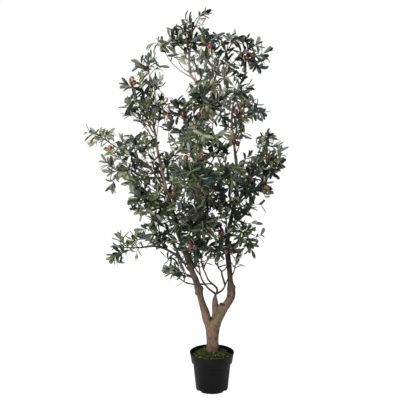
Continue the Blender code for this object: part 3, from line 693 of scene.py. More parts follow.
# ---------------- pot, plug and moss
@dataclass
class NurseryPot:
    """The thin-walled pot, with its collar, rounded rim and scalloped foot.

    The foot has a notch at each of these degrees. It is full out to the first of notch_turns, in radians
    from the notch's middle, and gone by the second.
    """

    rim: float = 0.1065
    height: float = 0.183
    foot: float = 0.0771
    wall: float = 0.0020
    collar: float = 0.050
    collar_foot: float = 0.0975
    ledge: float = 0.0070
    floor: float = 0.0030
    hub: float = 0.0020
    notch_height: float = 0.0070
    notch_depth: float = 0.0095
    notch_turns: Span = (0.13, 0.19)
    notches: tuple[float, ...] = (-40.0, 40.0, 140.0, 220.0)
    foot_band: float = 0.03
    corner_radii: tuple[float, ...] = (0.0026, 0.0016, 0.0022, 0.0009, 0.0009, 0.0022, 0.0030, 0.0020)
    step: float = 0.006
    out_of_round: float = 0.0012
    sides: int = 144
    sharp: float = 42.0
    finish: PlasticFinish = PlasticFinish()

    def profile(self) -> Array:
        """The wall's section from the middle of the underside round to the middle of the floor inside.

        Each corner is cut back by its own radius along both sides and bridged by a quadratic curve, and
        long straight stretches get points of their own.

        Returns:
            Radius and height, shape (n, 2).
        """
        top, within = self.height - self.collar, self.foot - self.notch_depth
        corners = np.array([
            (self.hub, 0), (within - 0.001, 0), (within, 0), (self.foot, 0),
            (self.collar_foot - self.ledge, top), (self.collar_foot, top), (self.rim, self.height),
            (self.rim - self.wall, self.height), (self.collar_foot - self.wall, top + self.wall),
            (self.collar_foot - self.ledge - self.wall, top + self.wall),
            (self.foot - self.wall, self.floor), (self.hub, self.floor)])
        line = [corners[:3]]
        for index, radius in enumerate(self.corner_radii, 3):
            here = corners[index]
            before, after = unit(corners[index - 1] - here), unit(corners[index + 1] - here)
            line.append(bent(here + before * radius, here, here + after * radius, 5))
        line = np.vstack([*line, corners[-1:]])
        lengths = np.linalg.norm(np.diff(line, axis=0), axis=1)
        steps = np.maximum(1, np.round(lengths / self.step)).astype(int)
        shares = np.concatenate([index + np.arange(count) / count for index, count in enumerate(steps)])
        shares = np.append(shares, len(line) - 1)
        return np.stack([np.interp(shares, np.arange(len(line)), column) for column in line.T], axis=1)

    def build(self) -> list[Piece]:
        """Turns the section about the axis and lifts the foot over each notch.

        A notch is 1 near its own angle and falls smoothly to 0 at its sides. The foot's outer band is
        raised to the notch's height there, and the inside stays a wall's thickness above it. Higher up the
        wall is a little out of round: its radius sinks by up to twice that share, three times round.

        Returns:
            The pot, as one piece.
        """
        radius, height = (column[:, None] for column in self.profile().T)
        angles = 2 * math.pi * np.arange(self.sides) / self.sides
        turns = angles[:, None] - np.radians(self.notches)
        gaps = np.abs((turns + math.pi) % (2 * math.pi) - math.pi).min(axis=1)
        notch = 1 - smooth_step(gaps, *self.notch_turns)
        inside = np.arange(len(radius))[:, None] > len(radius) * 0.5
        lift = (self.notch_height + inside * self.wall) * notch
        band = (radius >= self.foot - self.notch_depth - 1e-6) & (height < self.foot_band)
        height = np.where(band, np.maximum(height, lift), height)
        warp = 1 - self.out_of_round * (1 + np.sin(3 * angles + 1)) * smooth_step(height, 0.02, 0.18)
        points = np.stack([radius * warp * np.cos(angles), radius * warp * np.sin(angles), height], axis=-1)
        surface = Surface()
        ends = np.arange(self.sides)[None]
        last = ends + (len(radius) - 1) * self.sides
        surface.add(points, (grid_faces(len(radius), self.sides), 0), (ends[:, ::-1], 0), (last, 0))
        made = surface.piece("nursery_pot", [self.finish.material()], self.sharp)
        return [place(made, "black_plastic", ["pot"])]


@dataclass
class CementPlug:
    """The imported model's own cement plug, hidden under the moss, with its finish."""

    finish: CementFinish = CementFinish()

    def build(self) -> list[Piece]:
        """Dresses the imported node.

        Returns:
            Its object.
        """
        plug = frame_node("plug")
        plug.data.materials.clear()
        plug.data.materials.append(self.finish.material())
        return [plug]


def frame_node(name: str) -> Piece:
    """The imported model's object for a node."""
    return next(made for made in bpy.data.objects if made.get("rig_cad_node") == name)


@dataclass
class MossBed:
    """A mound of dried moss from the trunk to the pot's wall: a lumpy bed with tufts.

    Each of its lumps has a height and a size. The collar's inside is a cone: its radius at a height, and
    what it gains for each metre above that.
    """

    foot: float = 0.1403
    edge_height: float = 0.158
    crown_height: float = 0.187
    lumps: tuple[Span, ...] = ((0.0085, 0.015), (0.0048, 0.0075), (0.0014, 0.003))
    collar_radius: float = 0.0975
    collar_height: float = 0.133
    collar_slope: float = 0.18
    collar_room: float = 0.0026
    undercut: float = 0.96
    hole: Span = (0.003, 0.005)
    hole_radius: float = 0.0285
    rows: int = 44
    columns: int = 220
    tufts: int = 5200
    blade_lengths: Span = (0.004, 0.0105)
    blade_radii: tuple[float, ...] = (0.00085, 0.00075, 0.00012)
    blade_lean: float = 0.75
    wall_lean: float = 9.0
    sharp: float = 60.0

    def outer(self, height: Array) -> Array:
        """The radius just inside the pot's collar at a height."""
        return self.collar_radius + (height - self.collar_height) * self.collar_slope - self.collar_room

    def top(self, share: Array, angle: Array) -> Array:
        """The bed's surface.

        A point lies a share of the way from the trunk's side to the pot's wall. Its height falls from crown
        to edge as (1 - share)^1.3, with lumps of three sizes from lattice noise.

        Args:
            share: From 0 at the trunk to 1 at the wall.
            angle: Radians round the pot.

        Returns:
            Points of the arguments' common shape, with 3 columns.
        """
        height = self.edge_height + (self.crown_height - self.edge_height) * (1 - share) ** 1.3
        turn = np.stack([np.cos(angle), np.sin(angle)], axis=-1)
        hole = np.array(self.hole) + turn * self.hole_radius
        level = hole + (turn * self.outer(height)[..., None] - hole) * share[..., None]
        spots = np.concatenate([level, np.zeros_like(share)[..., None]], axis=-1)
        rises = (rise * lattice_noise(spots, size, seed) for seed, (rise, size) in enumerate(self.lumps, 1))
        spots[..., 2] = height + sum(rises)
        return spots

    def bed(self) -> Surface:
        """The lumpy top, with an inner and an outer wall down to the foot, and an underside that joins them.

        Returns:
            The closed surface.
        """
        turns = 2 * math.pi * np.arange(self.columns) / self.columns
        share, angle = np.meshgrid(np.linspace(0, 1, self.rows), turns, indexing="ij")
        top = self.top(share, angle)
        inner, outer = top[:1].copy(), top[-1:].copy()
        inner[..., 2] = outer[..., 2] = self.foot
        points = np.concatenate([inner, top, outer * (self.undercut, self.undercut, 1)])
        faces = grid_faces(len(points), self.columns)
        seam = np.arange(self.columns)
        after = (seam + 1) % self.columns
        base = (len(points) - 1) * self.columns
        closing = np.stack([base + seam, base + after, after, seam], axis=-1)
        surface = Surface()
        surface.add(points, (faces[:, ::-1], 0), (closing[:, ::-1], 0))
        return surface

    def blades(self) -> Array:
        """The tufts' blades, each bent at its middle: root, middle and tip.

        A blade's share of the way to the wall is u^0.7 for an even u, so that the tufts are about as dense
        everywhere. It leans at random, and inwards at the wall.

        Returns:
            Lines, shape (tufts, 3, 3).
        """
        rng = np.random.default_rng(11)
        share = rng.uniform(0.02, 0.97, self.tufts) ** 0.7
        root = self.top(share, rng.uniform(0, 2 * math.pi, self.tufts))
        lean = rng.normal(0, self.blade_lean, (self.tufts, 3)) * (1, 1, 0) + (0, 0, 1)
        lean[:, :2] -= root[:, :2] * self.wall_lean * smooth_step(share, 0.75, 1.0)[:, None]
        length = rng.uniform(*self.blade_lengths, self.tufts)[:, None]
        middle = root + unit(lean) * length * 0.6
        tip = middle + unit(lean * (1, 1, 0.2) + rng.normal(0, 0.3, (self.tufts, 3))) * length * 0.5
        return np.stack([root - (0, 0, 0.001), middle, tip], axis=1)

    def build(self) -> list[Piece]:
        """The bed and its tufts, each tuft a three-sided blade that tapers to a point.

        Returns:
            Two pieces.
        """
        green = MossFinish("moss_bed", tint(26, 34, 9), tint(66, 80, 18))
        bright = MossFinish("moss_tuft_bright", tint(70, 86, 20), tint(132, 150, 46))
        dull = MossFinish("moss_tuft_dull", tint(30, 39, 11), tint(62, 72, 24))
        bed = place(self.bed().piece("moss_bed", [green.material()], self.sharp), "moss", ["moss"])
        tufts = Surface()
        for slot, lines in enumerate(np.array_split(self.blades(), 2)):
            add_tubes(tufts, lines, np.tile(self.blade_radii, (len(lines), 1)), 3, slot)
        made = tufts.piece("moss_tufts", [bright.material(), dull.material()], self.sharp)
        return [bed, place(made, "moss", ["moss"])]


# ---------------- wood
@dataclass(frozen=True)
class Limb:
    """One limb: what it stands on, the height at which it leaves it, or None for its tip, and its line."""

    name: str
    on: str
    height: float | None
    points: tuple[Ball, ...]


PLUG_TOP = 0.1403
STEM_RADIUS = 0.0036
# Each point of a line is x, y, z and the radius there.
TRUNK_LINE = (
    (0.003, 0.005, PLUG_TOP, 0.0293), (0.003, 0.005, 0.195, 0.0293), (0.003, 0.004, 0.265, 0.0312),
    (0.003, 0.003, 0.31, 0.033), (0.003, 0.002, 0.334, 0.027), (0.003, 0.002, 0.344, 0.015))
FORK = {
    "left_arm": ((-0.002, 0.003, 0.28, 0.023), (-0.019, 0.0, 0.332, 0.0222),
        (-0.035, -0.004, 0.386, 0.0185)),
    "right_arm": ((0.006, 0.003, 0.28, 0.024), (0.026, 0.0, 0.342, 0.024), (0.058, 0.002, 0.399, 0.0196)),
    "middle_arm": ((0.01, 0.006, 0.33, 0.016), (0.017, 0.011, 0.372, 0.0168),
        (0.0155, 0.0135, 0.405, 0.0155)),
}
LIMBS = (
    Limb("left_limb", "left_arm", None, (
        (-0.051, -0.01, 0.442, 0.015), (-0.063, -0.016, 0.492, 0.0168), (-0.078, -0.02, 0.542, 0.015),
        (-0.097, -0.024, 0.591, 0.0136), (-0.111, -0.026, 0.639, 0.0138), (-0.128, -0.028, 0.688, 0.0138),
        (-0.159, -0.03, 0.783, 0.0121), (-0.191, -0.02, 0.885, 0.0106), (-0.217, -0.01, 0.967, 0.0097))),
    Limb("right_limb", "right_arm", None, (
        (0.083, 0.008, 0.436, 0.0192), (0.092, 0.012, 0.465, 0.0205), (0.091, 0.014, 0.494, 0.0185),
        (0.087, 0.016, 0.527, 0.013), (0.082, 0.018, 0.58, 0.0128), (0.077, 0.02, 0.629, 0.0128),
        (0.073, 0.02, 0.677, 0.0118), (0.075, 0.02, 0.749, 0.0104), (0.093, 0.02, 0.845, 0.0094),
        (0.111, 0.015, 0.94, 0.0084))),
    Limb("centre_stub", "middle_arm", None, (
        (0.015, 0.014, 0.425, 0.0135), (0.014, 0.014, 0.443, 0.01), (0.016, 0.014, 0.458, 0.0065),
        (0.017, 0.014, 0.472, 0.0048))),
    Limb("middle_limb", "left_limb", 0.604, (
        (-0.07, -0.003, 0.665, 0.0099), (-0.062, 0.01, 0.727, 0.0089), (-0.062, 0.02, 0.845, 0.0084),
        (-0.067, 0.02, 0.949, 0.0079), (-0.059, 0.02, 1.057, 0.0074), (-0.048, 0.01, 1.197, 0.0069),
        (-0.039, 0.0, 1.312, 0.0064), (-0.037, -0.008, 1.385, 0.0062))),
    Limb("left_leader", "left_limb", None, (
        (-0.237, 0.0, 1.082, 0.0074), (-0.253, 0.0, 1.152, 0.0064), (-0.266, 0.0, 1.244, 0.005),
        (-0.272, 0.0, 1.298, 0.0041))),
    Limb("top_leader", "middle_limb", None, (
        (-0.066, -0.01, 1.45, 0.0058), (-0.098, -0.01, 1.492, 0.0054), (-0.105, -0.01, 1.532, 0.0052),
        (-0.105, -0.005, 1.585, 0.0045), (-0.095, 0.0, 1.64, 0.0036), (-0.091, 0.0, 1.685, 0.003))),
    Limb("right_leader", "right_limb", None, (
        (0.113, 0.004, 1.059, 0.0069), (0.1, 0.0, 1.175, 0.0055), (0.088, 0.0, 1.289, 0.0046),
        (0.094, 0.0, 1.36, 0.0038))),
    Limb("crown_bough", "middle_limb", 1.3, (
        (0.0, 0.005, 1.4, 0.0052), (0.012, 0.01, 1.48, 0.0046), (0.045, 0.012, 1.56, 0.004),
        (0.088, 0.015, 1.605, 0.0034))),
    Limb("far_left_bough", "left_leader", 1.005, (
        (-0.29, 0.0, 1.068, 0.0051), (-0.343, 0.002, 1.112, 0.0046), (-0.4, 0.002, 1.14, 0.0038))),
    Limb("left_low_bough", "left_limb", 0.86, (
        (-0.225, -0.03, 0.885, 0.0052), (-0.262, -0.036, 0.898, 0.0044))),
    Limb("low_left_bough", "left_limb", 0.625, (
        (-0.16, -0.03, 0.655, 0.0054), (-0.206, -0.03, 0.687, 0.005), (-0.267, -0.03, 0.706, 0.0046),
        (-0.332, -0.03, 0.7, 0.004))),
    Limb("right_far_bough", "right_limb", 0.915, (
        (0.155, 0.0, 0.99, 0.0056), (0.192, -0.006, 1.045, 0.005))),
    Limb("right_low_bough", "right_limb", 0.66, (
        (0.108, 0.01, 0.7, 0.005), (0.128, 0.0, 0.735, 0.0044))),
    Limb("front_low_bough", "middle_limb", 0.735, (
        (-0.072, -0.06, 0.775, 0.0052), (-0.08, -0.105, 0.806, 0.0044))),
    Limb("front_high_bough", "middle_limb", 0.93, (
        (-0.072, -0.05, 0.985, 0.0054), (-0.08, -0.12, 1.03, 0.0048), (-0.086, -0.165, 1.06, 0.0042))),
    Limb("back_low_bough", "middle_limb", 0.76, (
        (-0.06, 0.085, 0.79, 0.0052), (-0.055, 0.14, 0.8, 0.0044))),
    Limb("back_high_bough", "middle_limb", 0.98, (
        (-0.07, 0.075, 1.06, 0.0056), (-0.09, 0.12, 1.13, 0.005), (-0.105, 0.145, 1.185, 0.0042))),
)


@dataclass
class Wood:
    """The centrelines of the trunk, its arms and its limbs, with a radius at each point."""

    spacing: float = 0.008

    def __post_init__(self) -> None:
        """Works out every line, each limb from the one that it stands on."""
        self.lines: dict[str, Array] = {"trunk": smooth_line(np.array(TRUNK_LINE), self.spacing)}
        for name, points in FORK.items():
            self.lines[name] = smooth_line(np.array(points), self.spacing)
        for limb in LIMBS:
            radius = self.lines[limb.on][-1][3] if limb.height is None else limb.points[0][3]
            begin = self.seat(limb.on, limb.height, np.array(limb.points[0][:3]), radius)
            self.lines[limb.name] = smooth_line(np.array([*begin, *limb.points]), self.spacing)
        self.starts = np.concatenate([line[:-1, :3] for line in self.lines.values()])
        self.stops = np.concatenate([line[1:, :3] for line in self.lines.values()])
        self.radii = np.concatenate([line[:-1, 3] for line in self.lines.values()])

    def at(self, name: str, height: float) -> tuple[Array, Array, float]:
        """A limb's centre, direction and radius where it reaches a height.

        Args:
            name: The limb.
            height: The height.

        Returns:
            The point, the unit direction and the radius.
        """
        line = self.lines[name]
        index = min(max(int(np.argmax(line[:, 2] >= height)), 1), len(line) - 1)
        low, high = line[index - 1], line[index]
        here = low + (high - low) * np.clip((height - low[2]) / max(high[2] - low[2], 1e-9), 0, 1)
        return here[:3], unit(high[:3] - low[:3]), float(here[3])

    def seat(self, on: str, height: float | None, towards: Array, radius: float) -> list[Array]:
        """The first points of a limb or stem.

        At a tip it starts 14 mm back in its parent and runs straight on. From a side it starts 0.4 of the
        parent's radius off its centre, 1.55 times as thick as it is to be, and 1.22 times at the collar. It
        goes straight out, and turns up 1.7 of its own radii from the parent's side.

        Args:
            on: The parent limb.
            height: Where it leaves the parent's side, or None for its tip.
            towards: The point that it heads for.
            radius: Its radius.

        Returns:
            Points with a radius each.
        """
        line = self.lines[on]
        if height is None:
            along = unit(line[-1, :3] - line[-2, :3])
            return [np.append(line[-1, :3] - along * 0.014, radius * 0.96), np.append(line[-1, :3], radius)]
        centre, along, parent = self.at(on, height)
        out = towards - centre
        out = unit(out - along * float(out @ along))
        elbow = centre + out * (parent + 1.7 * radius) + along * 0.9 * radius
        return [np.append(centre + out * parent * 0.4, radius * 1.55),
                np.append(centre + out * (parent + 0.3 * radius), radius * 1.22), np.append(elbow, radius)]

    def clear(self, points: Array, room: float) -> Array:
        """Which points (n, 3) keep this much room to every limb's surface."""
        gaps = segment_distance(points, self.starts, self.stops) - self.radii
        return gaps.min(axis=1) > room


def bark_relief(points: Array, size: Array) -> Array:
    """How far the bark stands proud: long ridges, soft lumps and stepped plates, from lattice noise.

    Args:
        points: Points on the wood, shape (..., 3).
        size: The wood's radius at each, which scales the relief.

    Returns:
        Heights in metres, shape (...).
    """
    scale = np.clip(size / 0.018, 0.3, 1.1)
    ridges = lattice_noise(points * (1, 1, 0.18), 0.0055, 21)
    ridges = ridges + 0.6 * lattice_noise(points * (1, 1, 0.3), 0.0026, 22)
    plates = smooth_step(lattice_noise(points * (1, 1, 0.55), 0.016, 23), 0.12, 0.24)
    lumps = lattice_noise(points, 0.024, 24)
    return scale * (0.00055 * ridges + 0.0008 * plates + 0.0011 * lumps)


@dataclass
class ThickWood:
    """The trunk, the fork and the lower limbs as one skin of bark, with knots.

    A knot is a raised ball. A dark knot is a dark stain on the bark: some stand for knots, and some are
    painted shade along the limbs' shaded right edges. Both are x, y, z and a radius. The limbs' radii wave
    by a twentieth over 35 mm or so.
    """

    wood: Wood
    names: tuple[str, ...] = ("trunk", "left_arm", "right_arm", "middle_arm", "left_limb", "right_limb",
                              "centre_stub")
    voxel: float = 0.0019
    smoothing: int = 5
    wave: float = 0.05
    wave_size: float = 0.035
    sides: int = 24
    knots: tuple[Ball, ...] = (
        (0.043, 0.004, 0.414, 0.0092), (0.036, 0.006, 0.402, 0.0110), (0.103, 0.004, 0.500, 0.0085),
        (0.099, 0.008, 0.486, 0.0120), (0.078, 0.006, 0.492, 0.0080), (-0.052, -0.014, 0.498, 0.0115),
        (-0.053, -0.014, 0.482, 0.0110), (-0.074, -0.016, 0.478, 0.0085), (-0.110, -0.022, 0.600, 0.0090),
        (0.086, 0.010, 0.566, 0.0080))
    # Dark stains: knots, and painted shade along the limbs' shaded right edges.
    dark_knots_and_painted_shade: tuple[Ball, ...] = (
        (0.046, -0.002, 0.420, 0.014), (0.113, 0.004, 0.506, 0.010), (-0.038, -0.014, 0.500, 0.012),
        (-0.006, -0.018, 0.352, 0.012), (0.070, 0.006, 0.500, 0.009), (0.016, 0.004, 0.470, 0.016),
        (-0.057, -0.030, 0.540, 0.010), (0.078, -0.005, 0.460, 0.011),
        (-0.104, -0.035, 0.632, 0.012), (0.057, -0.010, 0.417, 0.009))

    def body(self) -> Surface:
        """Overlapping tubes for the limbs, and balls for the knots: a ball's ring at t has radius r sin t.

        Returns:
            Closed tubes that run through one another.
        """
        surface = Surface()
        for name in self.names:
            line = self.wood.lines[name]
            wave = 1 + self.wave * lattice_noise(line[:, :3], self.wave_size, 31)
            add_tubes(surface, line[None, :, :3], (line[:, 3] * wave)[None], self.sides)
        t = np.linspace(0.12, math.pi - 0.12, 9)
        for x, y, z, radius in self.knots:
            rise = z - radius * 1.3 * np.cos(t)
            line = np.stack([np.full_like(t, x), np.full_like(t, y), rise], axis=1)
            add_tubes(surface, line[None], (radius * np.sin(t))[None], 16)
        return surface

    def melted(self) -> bpy.types.Mesh:
        """The body's tubes as one skin on a fine lattice.

        Returns:
            The mesh.
        """
        rough = self.body().piece("rough_wood", [], 180)
        melt = rough.modifiers.new("Melt", "REMESH")
        melt.mode = "VOXEL"
        melt.voxel_size = self.voxel
        bpy.context.view_layer.update()
        mesh = bpy.data.meshes.new_from_object(rough.evaluated_get(bpy.context.evaluated_depsgraph_get()))
        bpy.data.objects.remove(rough)
        return mesh

    def evened(self, mesh: bpy.types.Mesh) -> Array:
        """A mesh's points, each moved half way to the mean of its neighbours, a few times.

        Args:
            mesh: The mesh, which isn't changed.

        Returns:
            The moved points, shape (n, 3).
        """
        points = np.empty(len(mesh.vertices) * 3, np.float32)
        mesh.vertices.foreach_get("co", points)
        points = points.reshape(-1, 3).astype(float)
        edges = np.empty(len(mesh.edges) * 2, np.int32)
        mesh.edges.foreach_get("vertices", edges)
        first, second = edges.reshape(-1, 2).T
        ends, others = np.concatenate([first, second]), np.concatenate([second, first])
        count = np.maximum(np.bincount(ends, minlength=len(points)), 1)[:, None]
        for _ in range(self.smoothing):
            sums = [np.bincount(ends, points[others, axis], len(points)) for axis in range(3)]
            points = (points + np.stack(sums, axis=1) / count) / 2
        return points

    def build(self) -> list[Piece]:
        """Melts the tubes into one skin, evens it out and raises the bark's relief along its normals.

        Returns:
            One piece.
        """
        mesh = self.melted()
        points = self.evened(mesh)
        mesh.vertices.foreach_set("co", points.astype(np.float32).ravel())
        mesh.update()
        normals = np.empty(len(mesh.vertices) * 3, np.float32)
        mesh.vertex_normals.foreach_get("vector", normals)
        size = self.girth(points)
        points += normals.reshape(-1, 3) * bark_relief(points, size)[:, None]
        points[:, 2] = np.maximum(points[:, 2], PLUG_TOP)
        mesh.vertices.foreach_set("co", points.astype(np.float32).ravel())
        mesh.update()
        mesh.shade_smooth()
        mesh.materials.clear()
        bark = BarkFinish("bark", tint(102, 84, 68), tint(57, 47, 39), tint(34, 27, 22), tint(92, 86, 60),
                          turn=(0.30, 0.62), knots=self.dark_knots_and_painted_shade)
        mesh.materials.append(bark.material())
        made = stand("trunk_and_limbs", mesh)
        return [place(made, "bark", ["trunk", "left_limb", "right_limb", "centre_stub"])]

    def girth(self, points: Array) -> Array:
        """The wood's radius at points: that of the nearest of every second point of the centrelines.

        Args:
            points: Points on the skin, shape (n, 3), which are taken in blocks of about 4,000.

        Returns:
            Radii, shape (n,).
        """
        starts = np.concatenate([self.wood.lines[name][:-1, :3] for name in self.names])[::2]
        radii = np.concatenate([self.wood.lines[name][:-1, 3] for name in self.names])[::2]
        near = [((block[:, None] - starts) ** 2).sum(axis=2).argmin(axis=1)
                for block in np.array_split(points, max(1, len(points) // 4000))]
        return radii[np.concatenate(near)]


@dataclass
class Boughs:
    """The middle limb, the leaders and the boughs, each a tapering tube with the bark's relief.

    They are all of the limbs but those that ThickWood has. Here and there a limb swells by a share, as at a
    bud's scar.
    """

    wood: Wood
    apart: tuple[str, ...] = ("left_limb", "right_limb", "centre_stub")
    sides: int = 18
    spacing: float = 0.0045
    swelling: float = 0.16

    def build(self) -> list[Piece]:
        """Each limb's rings, their radius moved in and out by the relief at each point of the ring.

        Returns:
            One piece.
        """
        surface = Surface()
        names = [limb.name for limb in LIMBS if limb.name not in self.apart]
        for name in names:
            line = smooth_line(self.wood.lines[name], self.spacing)
            skin = line[:, None, :3] + line[:, None, 3:] * rings_round(line[None, :, :3], self.sides)[0]
            relief = bark_relief(skin, np.broadcast_to(line[:, 3:], skin.shape[:2]) * 1.1)
            node = 1 + self.swelling * smooth_step(lattice_noise(line[:, :3], 0.022, 33), 0.45, 0.75)
            add_tubes(surface, line[None, :, :3], ((line[:, 3] * node)[:, None] + relief)[None], self.sides)
        bark = BarkFinish("bough_bark", tint(54, 44, 37), tint(140, 118, 102), tint(36, 29, 24),
                          tint(88, 76, 62), turn=(0.78, 1.16), wear=1.45)
        return [place(surface.piece("boughs", [bark.material()], 180), "bark", names)]


# ---------------- foliage
DEEP_SHARE = 0.38


@dataclass(frozen=True)
class Mass:
    """A mass of foliage: its limb, where its stem leaves that, its ellipsoid and its number of main twigs.

    Then come its share of pale sprays, a factor on the spacing of its sprays, and the share of the deepest
    tone among those that aren't pale.
    """

    name: str
    on: str
    height: float | None
    centre: Spot
    half: Spot
    twigs: int
    pale: float = 0.04
    space: float = 1.0
    deep: float = DEEP_SHARE


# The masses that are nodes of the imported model.
MASSES = tuple(Mass(*row) for row in (
    ("top_spray", "top_leader", None, (-0.055, 0.0, 1.754), (0.084, 0.079, 0.059), 4, 0.0, 1.8, 0.85),
    ("crown_left", "top_leader", 1.585, (-0.17, -0.03, 1.64), (0.12, 0.124, 0.074), 6, 0.12, 1.15),
    ("crown_mid", "top_leader", 1.62, (-0.01, -0.06, 1.65), (0.075, 0.113, 0.066), 4, 0.04, 1.0, 0.5),
    ("crown_inner", "crown_bough", 1.44, (-0.03, 0.08, 1.55), (0.106, 0.146, 0.08), 4, 0.3, 1.1),
    ("crown_right", "crown_bough", 1.585, (0.1, 0.02, 1.655), (0.08, 0.113, 0.057), 4, 0.05, 1.25, 0.46),
    ("right_top_tip", "crown_bough", None, (0.2, 0.0, 1.58), (0.091, 0.102, 0.097), 4, 0.2, 1.15, 0.46),
    ("left_high", "left_leader", None, (-0.29, -0.02, 1.54), (0.097, 0.102, 0.071), 4, 0.12, 1.55, 0.6),
    ("left_shoulder", "left_leader", 1.285, (-0.33, 0.03, 1.45), (0.109, 0.124, 0.068), 4, 0.25, 1.3),
    ("left_middle", "left_leader", 1.235, (-0.32, -0.02, 1.34), (0.112, 0.135, 0.075), 6, 0.22, 1.0, 0.24),
    ("inner_left", "middle_limb", 1.25, (-0.15, -0.06, 1.34), (0.091, 0.113, 0.075), 4, 0.18, 1.1),
    ("centre_high", "middle_limb", 1.33, (-0.04, -0.123, 1.4), (0.1, 0.113, 0.08), 4, 0.22, 0.95),
    ("centre_high_back", "middle_limb", 1.35, (0.01, 0.168, 1.37), (0.12, 0.135, 0.103), 4, 0.18, 0.98),
    ("right_high", "right_leader", None, (0.12, 0.0, 1.44), (0.08, 0.113, 0.073), 4, 0.1, 1.2),
    ("right_spray", "right_leader", 1.3, (0.19, -0.03, 1.34), (0.091, 0.102, 0.064), 4, 0.2, 1.3, 0.4),
    # Its pale share is raised to lift the shade inside the crown: painted light.
    ("centre_up_front", "middle_limb", 1.18, (-0.04, -0.19, 1.23), (0.128, 0.124, 0.08),
     6, 0.34, 1.0, 0.24),
    ("centre_up_back", "back_high_bough", None, (-0.12, 0.213, 1.24), (0.132, 0.135, 0.108),
     5, 0.25, 1.0, 0.28),
    ("right_inner", "right_leader", 1.19, (0.11, 0.06, 1.24), (0.08, 0.113, 0.085), 4, 0.15, 1.0, 0.2),
    ("right_far_high", "right_far_bough", 1.03, (0.26, 0.02, 1.2), (0.091, 0.102, 0.066), 4, 0.1, 1.4),
    ("right_far", "right_far_bough", None, (0.26, -0.02, 1.09), (0.109, 0.135, 0.078), 6, 0.04, 0.98, 0.28),
    ("right_far_low", "right_far_bough", 0.985, (0.2, -0.05, 0.985), (0.098, 0.124, 0.078), 4, 0.0, 1.04),
    ("centre_right_front", "right_leader", 1.0, (0.07, -0.168, 1.05), (0.091, 0.124, 0.103),
     3, 0.03, 1.05, 0.2),
    ("centre_right_back", "right_leader", 1.04, (0.13, 0.213, 1.05), (0.123, 0.135, 0.114),
     4, 0.1, 0.98, 0.26),
    ("centre_front", "front_high_bough", None, (-0.09, -0.258, 1.08), (0.107, 0.124, 0.103),
     6, 0.05, 0.95, 0.24),
    ("centre_back", "middle_limb", 0.9, (-0.11, 0.246, 0.99), (0.141, 0.135, 0.125), 6, 0.1, 0.9, 0.26),
    ("right_low", "right_limb", 0.79, (0.16, 0.03, 0.87), (0.109, 0.146, 0.08), 4, 0.02, 1.25, 0.2),
    ("right_bottom", "right_low_bough", None, (0.17, -0.02, 0.74), (0.091, 0.124, 0.098),
     4, 0.0, 1.25, 0.5),
    ("right_bottom_inner", "right_limb", 0.64, (0.04, -0.09, 0.74), (0.078, 0.113, 0.093),
     4, 0.04, 0.9, 0.52),
    ("far_left_tip", "far_left_bough", None, (-0.52, 0.0, 1.22), (0.089, 0.079, 0.058), 4, 0.5, 1.1),
    ("left_upper_outer", "far_left_bough", 1.12, (-0.36, 0.0, 1.18), (0.111, 0.146, 0.093),
     6, 0.25, 1.1, 0.3),
    ("left_outer", "far_left_bough", 1.1, (-0.46, 0.02, 1.05), (0.078, 0.102, 0.108), 4, 0.35, 1.4),
    ("left_mid_inner", "left_leader", 1.05, (-0.31, 0.11, 1.03), (0.108, 0.135, 0.091), 4, 0.2, 1.35),
    ("left_low", "left_low_bough", None, (-0.275, -0.055, 0.91), (0.15, 0.146, 0.092), 6, 0.14, 0.98),
    ("left_low_inner", "left_limb", 0.72, (-0.25, -0.02, 0.775), (0.103, 0.135, 0.08), 5, 0.12, 1.2),
    ("low_left_arm", "low_left_bough", None, (-0.42, -0.02, 0.7), (0.105, 0.113, 0.108), 4, 0.5, 1.3),
    ("low_left_small", "left_limb", 0.56, (-0.19, 0.0, 0.58), (0.08, 0.09, 0.063), 4, 0.35, 1.1, 0.2),
    ("centre_low_front", "front_low_bough", None, (-0.09, -0.19, 0.83), (0.1, 0.124, 0.112),
     5, 0.0, 1.0, 0.44),
    ("centre_low_back", "back_low_bough", None, (-0.05, 0.224, 0.82), (0.146, 0.141, 0.114),
     5, 0.0, 0.92, 0.46),
))
